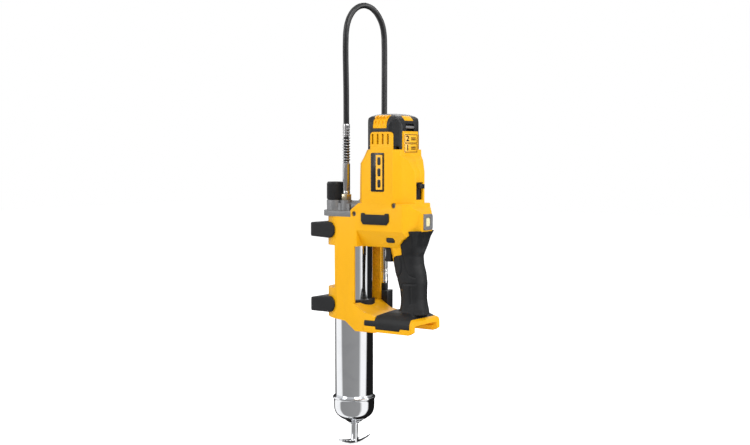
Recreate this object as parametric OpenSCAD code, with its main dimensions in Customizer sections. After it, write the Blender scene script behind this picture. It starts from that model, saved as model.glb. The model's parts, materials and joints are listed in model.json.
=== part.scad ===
// Cordless grease gun, bare tool without its battery.
// Origin: on the barrel axis, at the face of the pump head that the barrel seals against.
// +Z up along the barrel, +X back towards the handle, -Y the tool's left side.

/* [Barrel] */
// Outer diameter of the grease barrel
barrel_od = 57; // [50:1:68]
// Wall of the barrel tube
barrel_wall = 1.2; // [1:0.1:2]
// Distance from the seat face down to the lower rim of the barrel
barrel_len = 270; // [222:2:324]
// Depth of the threaded socket in the pump head
socket_depth = 9; // [7:1:14]
// Thickness of the head gasket
gasket_t = 2; // [1.5:0.5:3]

/* [Plunger rod] */
// Diameter of the follower rod
rod_d = 7; // [6:0.5:9]
// Diameter of the handle stem outside the end cap
stem_d = 11; // [9:0.5:13]
// Length of the pull handle
pull_len = 58; // [48:2:70]

/* [Housing] */
// Width across the side faces
body_w = 70; // [64:1:84]
// Wall of the clamshell
wall = 3; // [2.5:0.25:4]
// Height of the motor tower's parting with the cap, above the seat
cap_z = 98.8; // [90:1:120]
// Height of the motor cap
cap_h = 49; // [42:1:60]
// Distance of the motor axis behind the barrel axis
motor_x = 70; // [66:1:76]
// Height at which the lower collar ends, below the seat
frame_h = 150; // [145:1:175]

/* [Grip] */
// Half width of the grip at its middle
grip_half_w = 16.8; // [14:0.2:20]
// Thickness of the rubber over the grip and foot
rubber_t = 2.6; // [2:0.2:3.5]
// Half width of the battery foot
foot_half_w = 37; // [33:1:44]
// Travel of the trigger
trigger_travel = 6; // [4:0.5:8]

/* [Pump] */
// Diameter of the pump plunger
plunger_d = 8; // [6:0.5:9]
// Height of the pump bore above the seat
pump_z = 14; // [13:0.5:16]
// Crank throw, half of the pump stroke
throw = 5; // [4:0.5:6]
// Diameter of the bleed knob
knob_d = 24.8; // [20:0.4:28]

/* [Hose] */
// Outer diameter of the hose
hose_d = 8.7; // [7:0.1:10]
// Outer diameter of the spring guards
guard_d = 10.2; // [9.4:0.2:12]
// Outer diameter of the coupler
coupler_d = 12.4; // [11:0.2:16]
// Radius of the coupler mouth that takes a grease fitting
mouth_r = 3.4; // [3:0.1:4]

/* [Gears] */
// Teeth of the sun pinion
sun_teeth = 12; // [12:3:15]
// Teeth of each planet
planet_teeth = 15; // [9:6:15]

/* [Hidden] */
$fn = 48;
yellow = "gold";
black = "#2c2e30";
eps = 0.01;
run_gap = 0.05; // radial clearance of a running fit
slip_gap = 0.3; // clearance of a loose sliding fit

half_w = body_w / 2;
barrel_r = barrel_od / 2;
collar_front_x = -39;
collar_plan_x = collar_front_x + half_w;
flange_front_x = -47;
flange_z = [1, 9];
skirt_r = half_w - wall - 0.2;
frame_back_x = 25.4;
wall_front_x = -10;
upper_collar_z = -42;
lower_collar_z = -105;
guide_z = [-138, -128];
cap_top_z = cap_z + cap_h;
cap_front_x = motor_x - 28.8;
cap_back_x = motor_x + 30;
cap_bevel = 12;
cap_round = 13;
spine_x = motor_x + 46;
led_x = motor_x + 60;
led_z = -4.5;
led_half = 11.5;
selector_travel = 12;
selector_z = [43, 49.5];
slot_z = [selector_z[0] - selector_travel - 4, selector_z[1] + 2.5];
slot_half_w = 8.7;

// --- outline helpers -------------------------------------------------------------------

function unit(v) = v / norm(v);

// A corner b between a and c turned into an arc of radius r
function fillet(a, b, c, r, n) =
    r == 0 ? [b] :
    let (u = unit(a - b), v = unit(c - b), half = acos(u * v) / 2,
         centre = b + unit(u + v) * r / sin(half),
         p0 = b + u * r / tan(half) - centre, p1 = b + v * r / tan(half) - centre,
         a0 = atan2(p0.y, p0.x), turn = (atan2(p1.y, p1.x) - a0 + 540) % 360 - 180)
    [for (i = [0:n]) centre + r * [cos(a0 + turn * i / n), sin(a0 + turn * i / n)]];

// An outline with its corners rounded, one radius for all or a list of radii
function rounded(p, r, n = 4) =
    [for (i = [0:len(p) - 1]) each fillet(p[(i + len(p) - 1) % len(p)], p[i],
        p[(i + 1) % len(p)], is_list(r) ? r[i] : r, n)];

// An anticlockwise outline moved inwards by d
function inset(p, d) =
    [for (i = [0:len(p) - 1])
        let (before = unit(p[i] - p[(i + len(p) - 1) % len(p)]),
             after = unit(p[(i + 1) % len(p)] - p[i]),
             n0 = [-before.y, before.x], n1 = [-after.y, after.x])
        p[i] + (n0 + n1) * d / (1 + n0 * n1)];

// The other half of a symmetric outline given for positive y, anticlockwise
function both_sides(p) = concat([for (i = [len(p) - 1:-1:0]) [p[i].x, -p[i].y]], p);

// An anticlockwise outline from its right side alone, listed upwards
function two_sided(p) = concat(p, [for (i = [len(p) - 1:-1:0]) [-p[i].x, p[i].y]]);

function rect(x0, y0, x1, y1) = [[x0, y0], [x1, y0], [x1, y1], [x0, y1]];

// Draws an X-Z outline and carries it across the width, from y0 to y1
module across(y0, y1) translate([0, y1, 0]) rotate([90, 0, 0]) linear_extrude(y1 - y0) children();

// Draws a Y-Z outline and carries it along X, from x0 to x1
module along(x0, x1) translate([x0, 0, 0]) rotate([90, 0, 90]) linear_extrude(x1 - x0) children();

module upright(z0, z1) translate([0, 0, z0]) linear_extrude(z1 - z0) children();

module rod(r, z0, z1, at = [0, 0]) translate([at.x, at.y, z0]) cylinder(r = r, h = z1 - z0);

module tube(r_out, r_in, z0, z1, at = [0, 0])
    difference() {
        rod(r_out, z0, z1, at);
        rod(r_in, z0 - 1, z1 + 1, at);
    }

module cross_rod(r, x, z, y0, y1) translate([x, y1, z]) rotate([90, 0, 0]) cylinder(r = r, h = y1 - y0);

module x_rod(r, x0, x1, z, y = 0) translate([x0, y, z]) rotate([0, 90, 0]) cylinder(r = r, h = x1 - x0);

module box(lo, hi) translate(lo) cube(hi - lo);

// One half of a clamshell piece: side -1 is the left (-Y) half, 1 the right
module half_of(side)
    intersection() {
        children();
        box([-200, side < 0 ? -100 : 0, -400], [300, side < 0 ? 0 : 100, 400]);
    }

// A solid lofted through rings, each a list of the same number of 3D points
module loft(rings) {
    n = len(rings[0]);
    m = len(rings);
    points = [for (ring = rings) each ring];
    sides = [for (j = [0:m - 2], i = [0:n - 1])
        [j * n + i, (j + 1) * n + i, (j + 1) * n + (i + 1) % n, j * n + (i + 1) % n]];
    polyhedron(points, concat(sides, [[for (i = [0:n - 1]) i],
        [for (i = [n - 1:-1:0]) (m - 1) * n + i]]), convexity = 6);
}

// A round wire wound into a coil, with its ends cut square
module coil(r, wire_r, z0, z1, turns, at = [0, 0], steps = 16, sides = 6) {
    count = turns * steps;
    rise = (z1 - z0 - 2 * wire_r) / count;
    loft([for (j = [0:count])
        let (a = 360 * j / steps)
        [for (i = [0:sides - 1])
            let (b = 360 * i / sides, d = r + wire_r * cos(b))
            [at.x + d * cos(a), at.y + d * sin(a), z0 + wire_r + rise * j + wire_r * sin(b)]]]);
}

// --- housing outlines, X-Z unless said -----------------------------------------------

// D-shaped plan of the collars: a round front and straight sides
function d_plan(front_x, r, back_x, n = 24) =
    let (cx = front_x + r)
    concat([for (i = [0:n]) [cx + r * cos(90 + 180 * i / n), r * sin(90 + 180 * i / n)]],
        [[back_x, -r], [back_x, r]]);

upper_side = [[27, 21], [spine_x + 0.6, 21], [spine_x, 27], [spine_x, 67], [spine_x - 7, 83],
    [cap_back_x + 1, 90], [cap_back_x, cap_z], [cap_front_x, cap_z], [cap_front_x - 2.3, 88],
    [cap_front_x - 9, 79], [cap_front_x - 11.7, 55], [cap_front_x - 12.7, 30]];
upper_plan = both_sides([[spine_x + 1, 12], [spine_x - 10, 23], [spine_x - 23, half_w],
    [cap_front_x - 2, half_w], [cap_front_x - 13.5, half_w - 11.5]]);
top_plan = both_sides([[spine_x + 1, 12], [spine_x - 10, 23], [spine_x - 23, half_w],
    [cap_front_x + cap_bevel, half_w], [cap_front_x + 0.5, half_w - cap_bevel + 0.5]]);
lower_side = [[19, -42], [92, -42], [104, -30], [led_x - 2, -18], [led_x, -15.5], [led_x, 6],
    [led_x - 4, 11], [spine_x + 3, 16], [spine_x + 0.6, 21.5], [33, 21.5], [19, 11]];
lower_plan = both_sides([[led_x, 12], [led_x - 3, 15], [motor_x + 40, half_w - 0.5],
    [motor_x + 37, half_w], [19, half_w]]);
under_bevel = [[-19, -44], [19, -44], [half_w, -18], [half_w, 24], [-half_w, 24], [-half_w, -18]];
bridge_side = [[9, -152], [27, -165.7], [62, -165.7], [62, -142], [52, -138.5], [43.8, -137.7],
    [26.6, -127.2], [15, -118], [9, -118]];
foot_side = [[44, -164], [121, -164], [127.5, -160], [127.5, -145], [120, -140.5],
    [112, -135], [86, -132.5], [79.7, -133], [57.4, -142.8], [44, -147.4]];
foot_front = concat([[-foot_half_w, -166], [foot_half_w, -166], [foot_half_w, -152]],
    [for (i = [0:10]) let (a = 8 + 164 * i / 10) [foot_half_w * cos(a), -152 + 20 * sin(a)]],
    [[-foot_half_w, -152]]);

// Side and front outlines of the grip
grip_side = [[88, -138], [129, -138], [126.8, -126], [125.5, -114], [126.2, -95], [124.2, -79],
    [120.4, -64], [119.8, -50], [122, -40], [130, -26], [134.5, -17], [73.5, -17], [73.5, -52],
    [76, -66], [79, -80], [83.3, -92], [87.1, -104], [88.7, -118], [88.3, -130]];
grip_front = two_sided([[grip_half_w + 2, -138], [grip_half_w - 0.4, -118], [grip_half_w, -56],
    [grip_half_w + 2.5, -44], [23, -30], [28, -17]]);
// The grip's cut corners: height, middle, half length, half width and cut
grip_corners = [[-14, 104.5, 36, 31, 15], [-54, 97.4, 25, 18.5, 12.5], [-80, 102, 25, 18, 12.2],
    [-112, 106.8, 23, 18, 14], [-142, 108, 26, 20, 16.5]];

function octagon(a, b, c) = [[-a, b - c], [-a + c, b], [a - c, b], [a, b - c],
    [a, c - b], [a - c, -b], [-a + c, -b], [-a, c - b]];

module grip_form(skin)
    intersection() {
        across(-30, 30) polygon(inset(grip_side, skin));
        along(60, 140) polygon(inset(grip_front, skin));
        loft([for (g = grip_corners)
            [for (p = octagon(g[2] - skin, g[3] - skin, g[4] - skin * (2 - sqrt(2))))
                [g[1] + p.x, p.y, g[0]]]]);
    }

// Where rubber covers the grip and the foot
rubber_grip_side = [[62, -140], [140, -140], [140, -17], [108, -17], [96.5, -29], [96.5, -52],
    [86, -54], [79, -58], [79, -64], [70, -66]];
foot_lip_x = 123; // behind this the foot's lip is bare
rubber_foot_side = [[40, -156], [63.8, -156], [64.6, -160], [105.8, -160], [107.2, -156.5],
    [foot_lip_x, -156.5], [foot_lip_x, -125], [44, -125]];

module foot_form(skin)
    intersection() {
        across(-foot_half_w, foot_half_w) polygon(inset(foot_side, skin));
        along(40, 130) polygon(inset(foot_front, skin));
    }

// Housing screws: place, and where the underside of the head sits across the width
screw_at = [[94, 19, -31], [24.9, 5.7, -31], [38, -152, 31], [112, -128, 10], [105, -84, 10]];
screw_r = 1.9;
screw_head_r = 3.4;
screw_head_h = 2;
screw_bite = 14; // how far a screw reaches into the far half

module screw_holes(side)
    for (p = screw_at) {
        near = sign(p[2]);
        bore_r = side == near ? screw_r + 0.2 : screw_r;
        cross_rod(bore_r, p.x, p.y, -(near < 0 ? 32 : screw_bite), near < 0 ? screw_bite : 32);
        if (side == near) counterbore(p);
    }

module counterbore(p)
    cross_rod(screw_head_r + 0.5, p.x, p.y, p[2] < 0 ? -60 : p[2], p[2] < 0 ? p[2] : 60);

module screw_posts()
    for (p = screw_at) cross_rod(6, p.x, p.y, -60, 60);

bay_half_w = 29;
bay_front_x = 54;
bay_top_z = -151;
rail_z = [-160, -156.5];
rail_in = 3;

module tower_form(skin) {
    intersection() {
        across(-half_w, half_w) polygon(inset(upper_side, skin));
        loft([for (level = [[15, upper_plan], [cap_z - 20, upper_plan], [cap_z + 1.2, top_plan]])
            [for (p = inset(level[1], skin)) [p.x, p.y, level[0]]]]);
    }
    intersection() {
        across(-half_w, half_w) polygon(inset(lower_side, skin));
        upright(-50, 30) polygon(inset(lower_plan, skin));
        along(19, 135) polygon(inset(under_bevel, skin));
    }
}

// The way between the gear bay and the crank bay, and the open top under the cap
module tower_ducts() {
    intersection() {
        upright(14, 28) polygon(inset(upper_plan, wall));
        box([34.5, -60, 0], [spine_x - wall, 60, 40]);
    }
    upright(cap_z - wall - 1, cap_z + 1) polygon(inset(cap_plan, wall));
}

module frame_form() {
    upright(upper_collar_z, flange_z[0]) polygon(d_plan(collar_front_x, half_w, 30));
    for (s = [-1, 1])
        box([wall_front_x, s < 0 ? -half_w : half_w - wall, lower_collar_z - 20],
            [frame_back_x, s < 0 ? -half_w + wall : half_w, upper_collar_z + 1]);
    intersection() {
        upright(-frame_h - 3, lower_collar_z) polygon(d_plan(collar_front_x, half_w, 60));
        across(-half_w, half_w)
            polygon([[-45, -frame_h + 3], [9, -frame_h - 2], [12, -frame_h - 2], [12, lower_collar_z],
                [-45, lower_collar_z]]);
    }
    across(-half_w, half_w) polygon(bridge_side);
}

module grip_yellow() {
    difference() {
        grip_form(0);
        across(-60, 60) polygon(rubber_grip_side);
    }
    grip_form(rubber_t);
}

module foot_yellow() {
    difference() {
        foot_form(0);
        across(-60, 60) polygon(rubber_foot_side);
    }
    foot_form(rubber_t);
}

module barrel_passage() {
    rod(barrel_r + 0.7, -400, -socket_depth);
    rod(skirt_r, -socket_depth - 0.5, 20);
    rod(skirt_r, guide_z[0], guide_z[1]);
    box([-60, -half_w + wall, lower_collar_z], [0, half_w - wall, upper_collar_z]);
    box([0, -half_w + wall, -126], [60, half_w - wall, upper_collar_z]);
}

module battery_bay() {
    difference() {
        box([bay_front_x, -bay_half_w, -180], [140, bay_half_w, bay_top_z]);
        for (s = [-1, 1])
            box([bay_front_x - 1, s < 0 ? -bay_half_w - 1 : bay_half_w - rail_in, rail_z[0]],
                [122, s < 0 ? -bay_half_w + rail_in : bay_half_w + 1, rail_z[1]]);
    }
}

trigger_z = [-64, -38];
trigger_half_w = 8;
lock_at = [84, -31];

module trigger_window()
    box([50, -trigger_half_w - slip_gap, trigger_z[0] - 2], [84, trigger_half_w + slip_gap, trigger_z[1] + 1]);

module housing_half(side)
    half_of(side)
        difference() {
            union() {
                difference() {
                    union() {
                        tower_form(0);
                        frame_form();
                        grip_yellow();
                        foot_yellow();
                    }
                    difference() {
                        tower_form(wall);
                        box([0, -half_w, -50], [22, half_w, 60]);
                    }
                    tower_ducts();
                    grip_form(rubber_t + wall);
                    box([47, -29, -162.5], [bay_front_x + 1, 29, -148]);
                }
                intersection() {
                    screw_posts();
                    union() {
                        tower_form(1);
                        grip_form(rubber_t + 1);
                        foot_form(rubber_t + 1);
                        across(-half_w + 1, half_w - 1) polygon(inset(bridge_side, 1));
                    }
                }
                cap_tabs();
                bearing_shelf();
            }
            barrel_passage();
            battery_bay();
            screw_holes(side);
            x_rod(neck_r + 0.1, -60, neck_x[1] + 1, pump_z);
            rod(gear_case_r + 0.2, gear_case_z[0] - 0.2, gear_case_z[1] + 1, [motor_x, 0]);
            // trigger window, lock button hole, selector slot, lamp seat, wire duct
            trigger_window();
            lock_form(slip_gap, -60, 60);
            box([spine_x - 4, -slot_half_w, slot_z[0]], [spine_x + 5, slot_half_w, slot_z[1]]);
            box([led_x - 5, -led_half, led_z - led_half], [led_x + 5, led_half, led_z + led_half]);
            box([100, -6, -155], [115, 6, -128]);
            box([88, -9, -50], [112, 9, -20]);
            air_slots();
        }

side_tab_x = [cap_front_x + 13, cap_front_x + 51];
side_tab_top = cap_z + 25;
rear_tab_half = 20;
rear_tab_top = cap_z + 26;

module cap_tabs() {
    for (s = [-1, 1])
        across(s < 0 ? -half_w : half_w - wall, s < 0 ? -half_w + wall : half_w)
            polygon(rounded(rect(side_tab_x[0], cap_z - 4, side_tab_x[1], side_tab_top), [0, 0, 5, 5]));
    box([cap_back_x - wall, -rear_tab_half, cap_z - 4], [cap_back_x, rear_tab_half, rear_tab_top]);
}

gear_case_r = 25.5;
gear_case_z = [24, 62];
shelf_z = [52, 57];

// Air slots through the side tabs
tab_slots = [for (i = [0:3]) side_tab_x[0] + 4 + 8.8 * i];

module air_slots()
    for (x = tab_slots) box([x - 1.5, -60, side_tab_top - 17.5], [x + 1.5, 60, side_tab_top - 2.8]);

// A ledge inside the tower that grips the gear case
module bearing_shelf()
    intersection() {
        tower_form(1);
        box([0, -half_w, shelf_z[0]], [spine_x - 12, half_w, shelf_z[1]]);
    }

module housing_left() color(yellow) housing_half(-1);

module housing_right() color(yellow) housing_half(1);

module grip_rubber(side)
    half_of(side)
        difference() {
            union() {
                difference() {
                    intersection() {
                        foot_form(0);
                        across(-60, 60) polygon(rubber_foot_side);
                    }
                    foot_form(rubber_t);
                }
                difference() {
                    intersection() {
                        grip_form(0);
                        across(-60, 60) polygon(rubber_grip_side);
                    }
                    grip_form(rubber_t);
                    foot_form(eps);
                }
            }
            grip_form(rubber_t);
            tower_form(0);
            across(-half_w, half_w) polygon(bridge_side);
            battery_bay();
            for (p = screw_at) if (side == sign(p[2])) counterbore(p);
            trigger_window();
            lock_form(slip_gap, -60, 60);
        }

module grip_rubber_left() color(black) grip_rubber(-1);

module grip_rubber_right() color(black) grip_rubber(1);

// --- motor cap ------------------------------------------------------------------------

cap_plan = rounded(both_sides([[cap_back_x, half_w - cap_bevel], [cap_back_x - cap_bevel, half_w],
    [cap_front_x + cap_bevel, half_w], [cap_front_x, half_w - cap_bevel]]), 8, 2);
cap_side = rounded([[cap_front_x, cap_z], [cap_back_x, cap_z], [cap_back_x, cap_top_z],
    [cap_front_x, cap_top_z]], [0, 0, cap_round, cap_round]);
cap_front = rounded([[-half_w, cap_z], [half_w, cap_z], [half_w, cap_top_z],
    [-half_w, cap_top_z]], [0, 0, cap_round, cap_round]);
recess_y = 11;
recess_depth = 9;
recess_z = [cap_z + 25.5, cap_z + 38];
vent_x = [cap_front_x + 18, cap_front_x + 41];
vent_z = cap_z + 32;

module cap_form(skin)
    intersection() {
        upright(cap_z - 1, cap_top_z + 1) polygon(inset(cap_plan, skin));
        across(-half_w, half_w) polygon(inset(cap_side, skin));
        along(cap_front_x - 1, cap_back_x + 1) polygon(inset(cap_front, skin));
    }

module cap_shell()
    difference() {
        cap_form(0);
        cap_form(wall);
        box([cap_front_x + wall, -half_w + wall, cap_z - 1], [cap_back_x - wall, half_w - wall, cap_z + wall + 1]);
    }

module vent_blocks() {
    for (s = [-1, 1])
        box([vent_x[0], s < 0 ? -half_w - 1 : half_w - 13, vent_z],
            [vent_x[1], s < 0 ? -half_w + 13 : half_w + 1, cap_top_z + 1]);
    box([cap_back_x - 9, -recess_y, cap_top_z - 6], [cap_back_x + 1, recess_y, cap_top_z + 1]);
}

module motor_cap()
    color(black)
        difference() {
            union() {
                cap_shell();
                // pocket behind the strap bar
                intersection() {
                    cap_form(eps);
                    box([cap_back_x - recess_depth - 1.6, -recess_y - 2, recess_z[0] - 2],
                        [cap_back_x, recess_y + 2, recess_z[1] + 2]);
                }
            }
            cap_tabs();
            vent_blocks();
            box([cap_back_x - recess_depth, -recess_y, recess_z[0]], [cap_back_x + 1, recess_y, recess_z[1]]);
            cross_rod(bar_r, cap_back_x - 2.4, bar_z, -recess_y - 1, recess_y + 1);
        }

bar_r = 2;
bar_z = cap_z + 32;

module strap_bar() color("dimgray") cross_rod(bar_r, cap_back_x - 2.4, bar_z, -recess_y - 1, recess_y + 1);

module vent_inserts()
    color(yellow)
        intersection() {
            cap_shell();
            vent_blocks();
        }

// --- trim ----------------------------------------------------------------------------

pad_side = rounded([[42, -9], [83, -9], [87, -4], [87, 7.5], [81, 7.5], [79, 5.5], [46, 5.5],
    [44, 7.5], [38.5, 7.5], [38.5, -4]], [2, 2, 2, 1.5, 1, 1, 1, 1, 1.5, 2], 3);

module side_pads()
    color(black)
        for (s = [-1, 1]) across(s < 0 ? -half_w - 1.6 : half_w, s < 0 ? -half_w : half_w + 1.6) polygon(pad_side);

module name_plates()
    color(black)
        for (s = [-1, 1])
            across(s < 0 ? -half_w - 0.5 : half_w, s < 0 ? -half_w : half_w + 0.5)
                polygon(rounded(rect(55.5, 38.5, 78.5, 94), 1.5, 2));

module speed_label()
    color("khaki")
        difference() {
            along(cap_back_x, cap_back_x + 1) polygon(rounded(rect(-17.5, cap_z - 5, 17.5, cap_z + 23), 1.5, 2));
            across(-60, 60) polygon(upper_side);
        }

module speed_selector()
    color(black) {
        box([spine_x - wall - 1.8, -7.5, 17], [spine_x - wall - 0.3, 7.5, 62]);
        box([spine_x - wall - 0.4, -5.8, selector_z[0]], [spine_x + 5, 5.8, selector_z[1]]);
    }

module led_bezel()
    color("gray")
        difference() {
            along(led_x - 5, led_x + 1.6) polygon(rounded(rect(-led_half, led_z - led_half,
                led_half, led_z + led_half), 4, 5));
            along(led_x - 2, led_x + 3) polygon(rounded(rect(-6, led_z - 6.5, 6, led_z + 6.5), 3, 5));
        }

module led_lens()
    color("lemonchiffon")
        along(led_x - 2, led_x + 0.4) polygon(rounded(rect(-6, led_z - 6.5, 6, led_z + 6.5), 3, 5));

rest_x = -55; // front face of both rests

// Rubber rest on the front of a collar: mid height and how far its root is taller
module rest_foot(z_mid, z_tip)
    color(black)
        difference() {
            intersection() {
                across(-half_w - 2.5, half_w + 2.5)
                    polygon(rounded([[rest_x, z_tip - 10.3], [-9, z_mid - 12.5], [-9, z_mid + 12.5],
                        [rest_x, z_tip + 10.3]], [3.5, 11.5, 11.5, 3.5], 6));
                upright(z_mid - 20, z_mid + 20)
                    polygon(rounded(rect(rest_x, -half_w - 2.5, 0, half_w + 2.5), [5, 0, 0, 5]));
            }
            upright(z_mid - 30, z_mid + 30) polygon(d_plan(collar_front_x, half_w, 60));
        }

module upper_foot() rest_foot(-19.5, -19.2);

module lower_foot() rest_foot(-129, -131.2);

// --- controls ------------------------------------------------------------------------

trigger_front = concat([[72, trigger_z[0]], [72, trigger_z[1]], [56, trigger_z[1]], [56.5, trigger_z[1] - 3]],
    [for (i = [0:6]) let (a = 60 + 60 * i / 6) [45.3 + 20 * sin(a) - 2.3, -52 + 20 * cos(a)]],
    [[62.5, trigger_z[0]]]);

module trigger()
    color(black) {
        across(-trigger_half_w, trigger_half_w) polygon([for (i = [len(trigger_front) - 1:-1:0]) trigger_front[i]]);
        box([71, -5, -58], [79, 5, -46]);
    }

module lock_form(grow, y0, y1)
    across(y0, y1)
        translate([lock_at.x, lock_at.y])
            polygon(rounded(rect(-7 - grow, -3.6 - grow, 7 + grow, 3.6 + grow), 3.4, 4));

lock_reach = 28;

module lock_button() color(black) lock_form(0, -lock_reach, lock_reach);

// The switch block and the ears that hold it between the grip's walls
module switch_module()
    color("dimgray") {
        box([81 + trigger_travel, -9, -66], [110, 9, -40]);
        box([92, wall + rubber_t - grip_half_w, -60], [104, grip_half_w - rubber_t - wall, -56]);
    }

module terminal_block()
    color("dimgray") {
        box([60, -16, bay_top_z - 5], [84, 16, bay_top_z]);
        for (y = [-12, -4, 4, 12]) box([84, y - 0.4, bay_top_z - 4.5], [98, y + 0.4, bay_top_z - 0.5]);
    }

module control_board() color("seagreen") box([48, -24, -149.5], [53.8, 24, -148]);

module housing_screws()
    color("dimgray")
        for (p = screw_at) {
            near = sign(p[2]);
            tip = -near * (screw_bite - 1);
            cross_rod(screw_r, p.x, p.y, min(p[2], tip), max(p[2], tip));
            cross_rod(screw_head_r, p.x, p.y, min(p[2], p[2] + near * screw_head_h),
                max(p[2], p[2] + near * screw_head_h));
        }

// --- pump head -----------------------------------------------------------------------

neck_r = 9.5;
neck_x = [-14, 34];
knob_at = [-31.4, -5];
port_at = [-10.3, -5];
boss_top = 23.8;
ball_r = 3.4;
seat_r = 2.8;
seat_z = 16.8;

module pump_head()
    color("darkgray")
        difference() {
            union() {
                upright(flange_z[0], flange_z[1]) polygon(d_plan(flange_front_x, half_w, 18.6));
                rod(skirt_r, -socket_depth, flange_z[0] + 1);
                rod(knob_d / 2, flange_z[1] - 1, boss_top, knob_at);
                rod(9, flange_z[1] - 1, boss_top, port_at);
                x_rod(neck_r, neck_x[0], neck_x[1], pump_z);
                box([knob_at.x, -12, flange_z[1] - 1], [0, 6, 19]);
                across(-7, 7) polygon([[-4, 14], [27, 14], [27, 33], [6, 19.5]]);
            }
            rod(barrel_r + slip_gap, -socket_depth - 1, 0);
            x_rod(plunger_d / 2 + run_gap, -4, neck_x[1] + 1, pump_z);
            x_rod(2.5, port_at.x, -3, pump_z);
            rod(3, -1, pump_z, [3, 0]);
            rod(seat_r, pump_z - 2, boss_top + 1, port_at);
            rod(4.2, seat_z, boss_top + 1, port_at);
            rod(3, 14, boss_top + 1, knob_at);
            cross_rod(screw_r + 0.2, screw_at[1].x, screw_at[1].y, -60, 60);
        }

module bleed_knob()
    color(black) {
        difference() {
            rod(knob_d / 2, boss_top + slip_gap, 51, knob_at);
            for (i = [0:17]) rod(0.9, 27, 52, knob_at + (knob_d / 2 + 0.3) * [cos(20 * i), sin(20 * i)]);
        }
        rod(3 - run_gap, 15, boss_top + 1, knob_at);
    }

module head_gasket() color("saddlebrown") tube(barrel_r, barrel_r - 7, -gasket_t, 0);

module guide_ring() color(black) tube(skirt_r, barrel_r + slip_gap, guide_z[0], guide_z[1]);

// --- barrel, end cap and follower -------------------------------------------------------

cap_lip = 3.5;
follower_z = -16;

module barrel() color("lightsteelblue") tube(barrel_r, barrel_r - barrel_wall, -barrel_len, -gasket_t);

module end_cap()
    color("lightsteelblue")
        rotate_extrude()
            polygon([[barrel_r, -barrel_len], [barrel_r + cap_lip, -barrel_len],
                [barrel_r + cap_lip, -barrel_len - 3], [barrel_r + 2, -barrel_len - 4],
                [barrel_r + 2, -barrel_len - 19], [barrel_r - 0.4, -barrel_len - 25],
                [barrel_r - 3.8, -barrel_len - 29], [barrel_r - 8.7, -barrel_len - 33],
                [barrel_r - 15.5, -barrel_len - 37], [7.6, -barrel_len - 39.5],
                [7.6, -barrel_len - 42], [rod_d / 2 + 2, -barrel_len - 42],
                [rod_d / 2 + 2, -barrel_len - 37], [barrel_r - 16.5, -barrel_len - 35],
                [barrel_r - 10, -barrel_len - 31], [barrel_r - 5.4, -barrel_len - 27],
                [barrel_r - 2, -barrel_len - 22], [barrel_r, -barrel_len - 18],
                [barrel_r, -barrel_len - 4]]);

module rod_bushing()
    color("goldenrod")
        tube(rod_d / 2 + 2, rod_d / 2 + run_gap, -barrel_len - 42, -barrel_len - 33);

handle_z = -barrel_len - 68;

module follower_rod() color("silver") rod(rod_d / 2, handle_z, follower_z - 10);

module pull_handle()
    color("silver")
        difference() {
            union() {
                rod(stem_d / 2, handle_z - 3, -barrel_len - 42.3);
                rotate([0, 0, 81])
                    translate([0, 5, 0]) rotate([90, 0, 0]) linear_extrude(10)
                        polygon(concat(
                            [for (i = [0:12]) let (t = -1 + i / 6) [t * pull_len / 2, handle_z - 3 + 6 * t * t]],
                            [for (i = [12:-1:0]) let (t = -1 + i / 6) [t * pull_len / 2, handle_z + 1.5 + 5 * t * t]]));
            }
            rod(rod_d / 2, handle_z, 0);
        }

module follower_cup()
    color(black)
        difference() {
            rod(barrel_r - barrel_wall - slip_gap, follower_z - 14, follower_z);
            rod(barrel_r - barrel_wall - 4, follower_z - 15, follower_z - 4);
            rod(rod_d / 2 + 1, follower_z - 5, follower_z + 1);
        }

module follower_plate()
    color("silver")
        difference() {
            union() {
                rod(barrel_r - barrel_wall - 5, follower_z - 6, follower_z - 4);
                rod(rod_d / 2 + 1, follower_z - 6, follower_z);
            }
            rod(rod_d / 2, follower_z - 40, follower_z - 3);
        }

spring_bottom = -barrel_len - 24;

module follower_spring()
    color("silver") coil(barrel_r - 9, 1.2, spring_bottom, follower_z - 6.2, 11, [0, 0], 14, 6);

// --- hose and coupler ------------------------------------------------------------------

nut_z = [boss_top, 32.7];
guard_joints = [32.7, 78.8, 117.4, 136.6];
coupler_at = [22, 47];
guard_end = -86.5;

// The route of the hose, from the nut on the head over the top to the coupler
hose_route = [[-10.3, -5, 32.7], [-10.3, -5, 60], [-10.3, -5, 90], [-10.3, -5, 118],
    [-10.3, -5, 140], [-10, -5.5, 160], [-9, -7, 185], [-8, -9, 212], [-7, -11, 240],
    [-6.2, -11.8, 258], [-5.8, -11.2, 272], [-5, -8.5, 285], [-3.6, -2.5, 297], [-1.5, 6.5, 306.5],
    [1.4, 18, 312], [4.6, 31, 312], [7.5, 42.5, 306.5], [9.8, 51.5, 297], [11.4, 57.8, 285],
    [12.2, 60.5, 272], [12.6, 61, 258], [13.4, 60.2, 235], [15, 57.8, 200], [16.8, 55, 165],
    [18.6, 52.3, 130], [20.2, 49.8, 95], [21.4, 48, 62], [22, 47, 30], [22, 47, 18],
    [22, 47, -20], [22, 47, -55], [22, 47, -86.5]];
hose_sides = 10;

module hose() {
    last = len(hose_route) - 1;
    across_loop = unit(cross([0, 0, 1], [18, 73, 0]));
    color("#1c1c1c")
        loft([for (j = [0:last])
            let (t = unit(hose_route[min(j + 1, last)] - hose_route[max(j - 1, 0)]),
                 a = unit(cross(t, across_loop)), b = cross(t, a))
            [for (i = [0:hose_sides - 1])
                let (w = -360 * i / hose_sides)
                hose_route[j] + hose_d / 2 * (cos(w) * a + sin(w) * b)]]);
}

module hose_nut()
    color("#b8a888")
        difference() {
            union() {
                translate([port_at.x, port_at.y, nut_z[0]]) rotate([0, 0, 10])
                    cylinder(r = 8.1, h = nut_z[1] - nut_z[0], $fn = 6);
                rod(4.2, boss_top - 1.2, boss_top + 1, port_at);
            }
            rod(3, boss_top - 2, 30, port_at);
            rod(2, 29, 40, port_at);
        }

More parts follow.
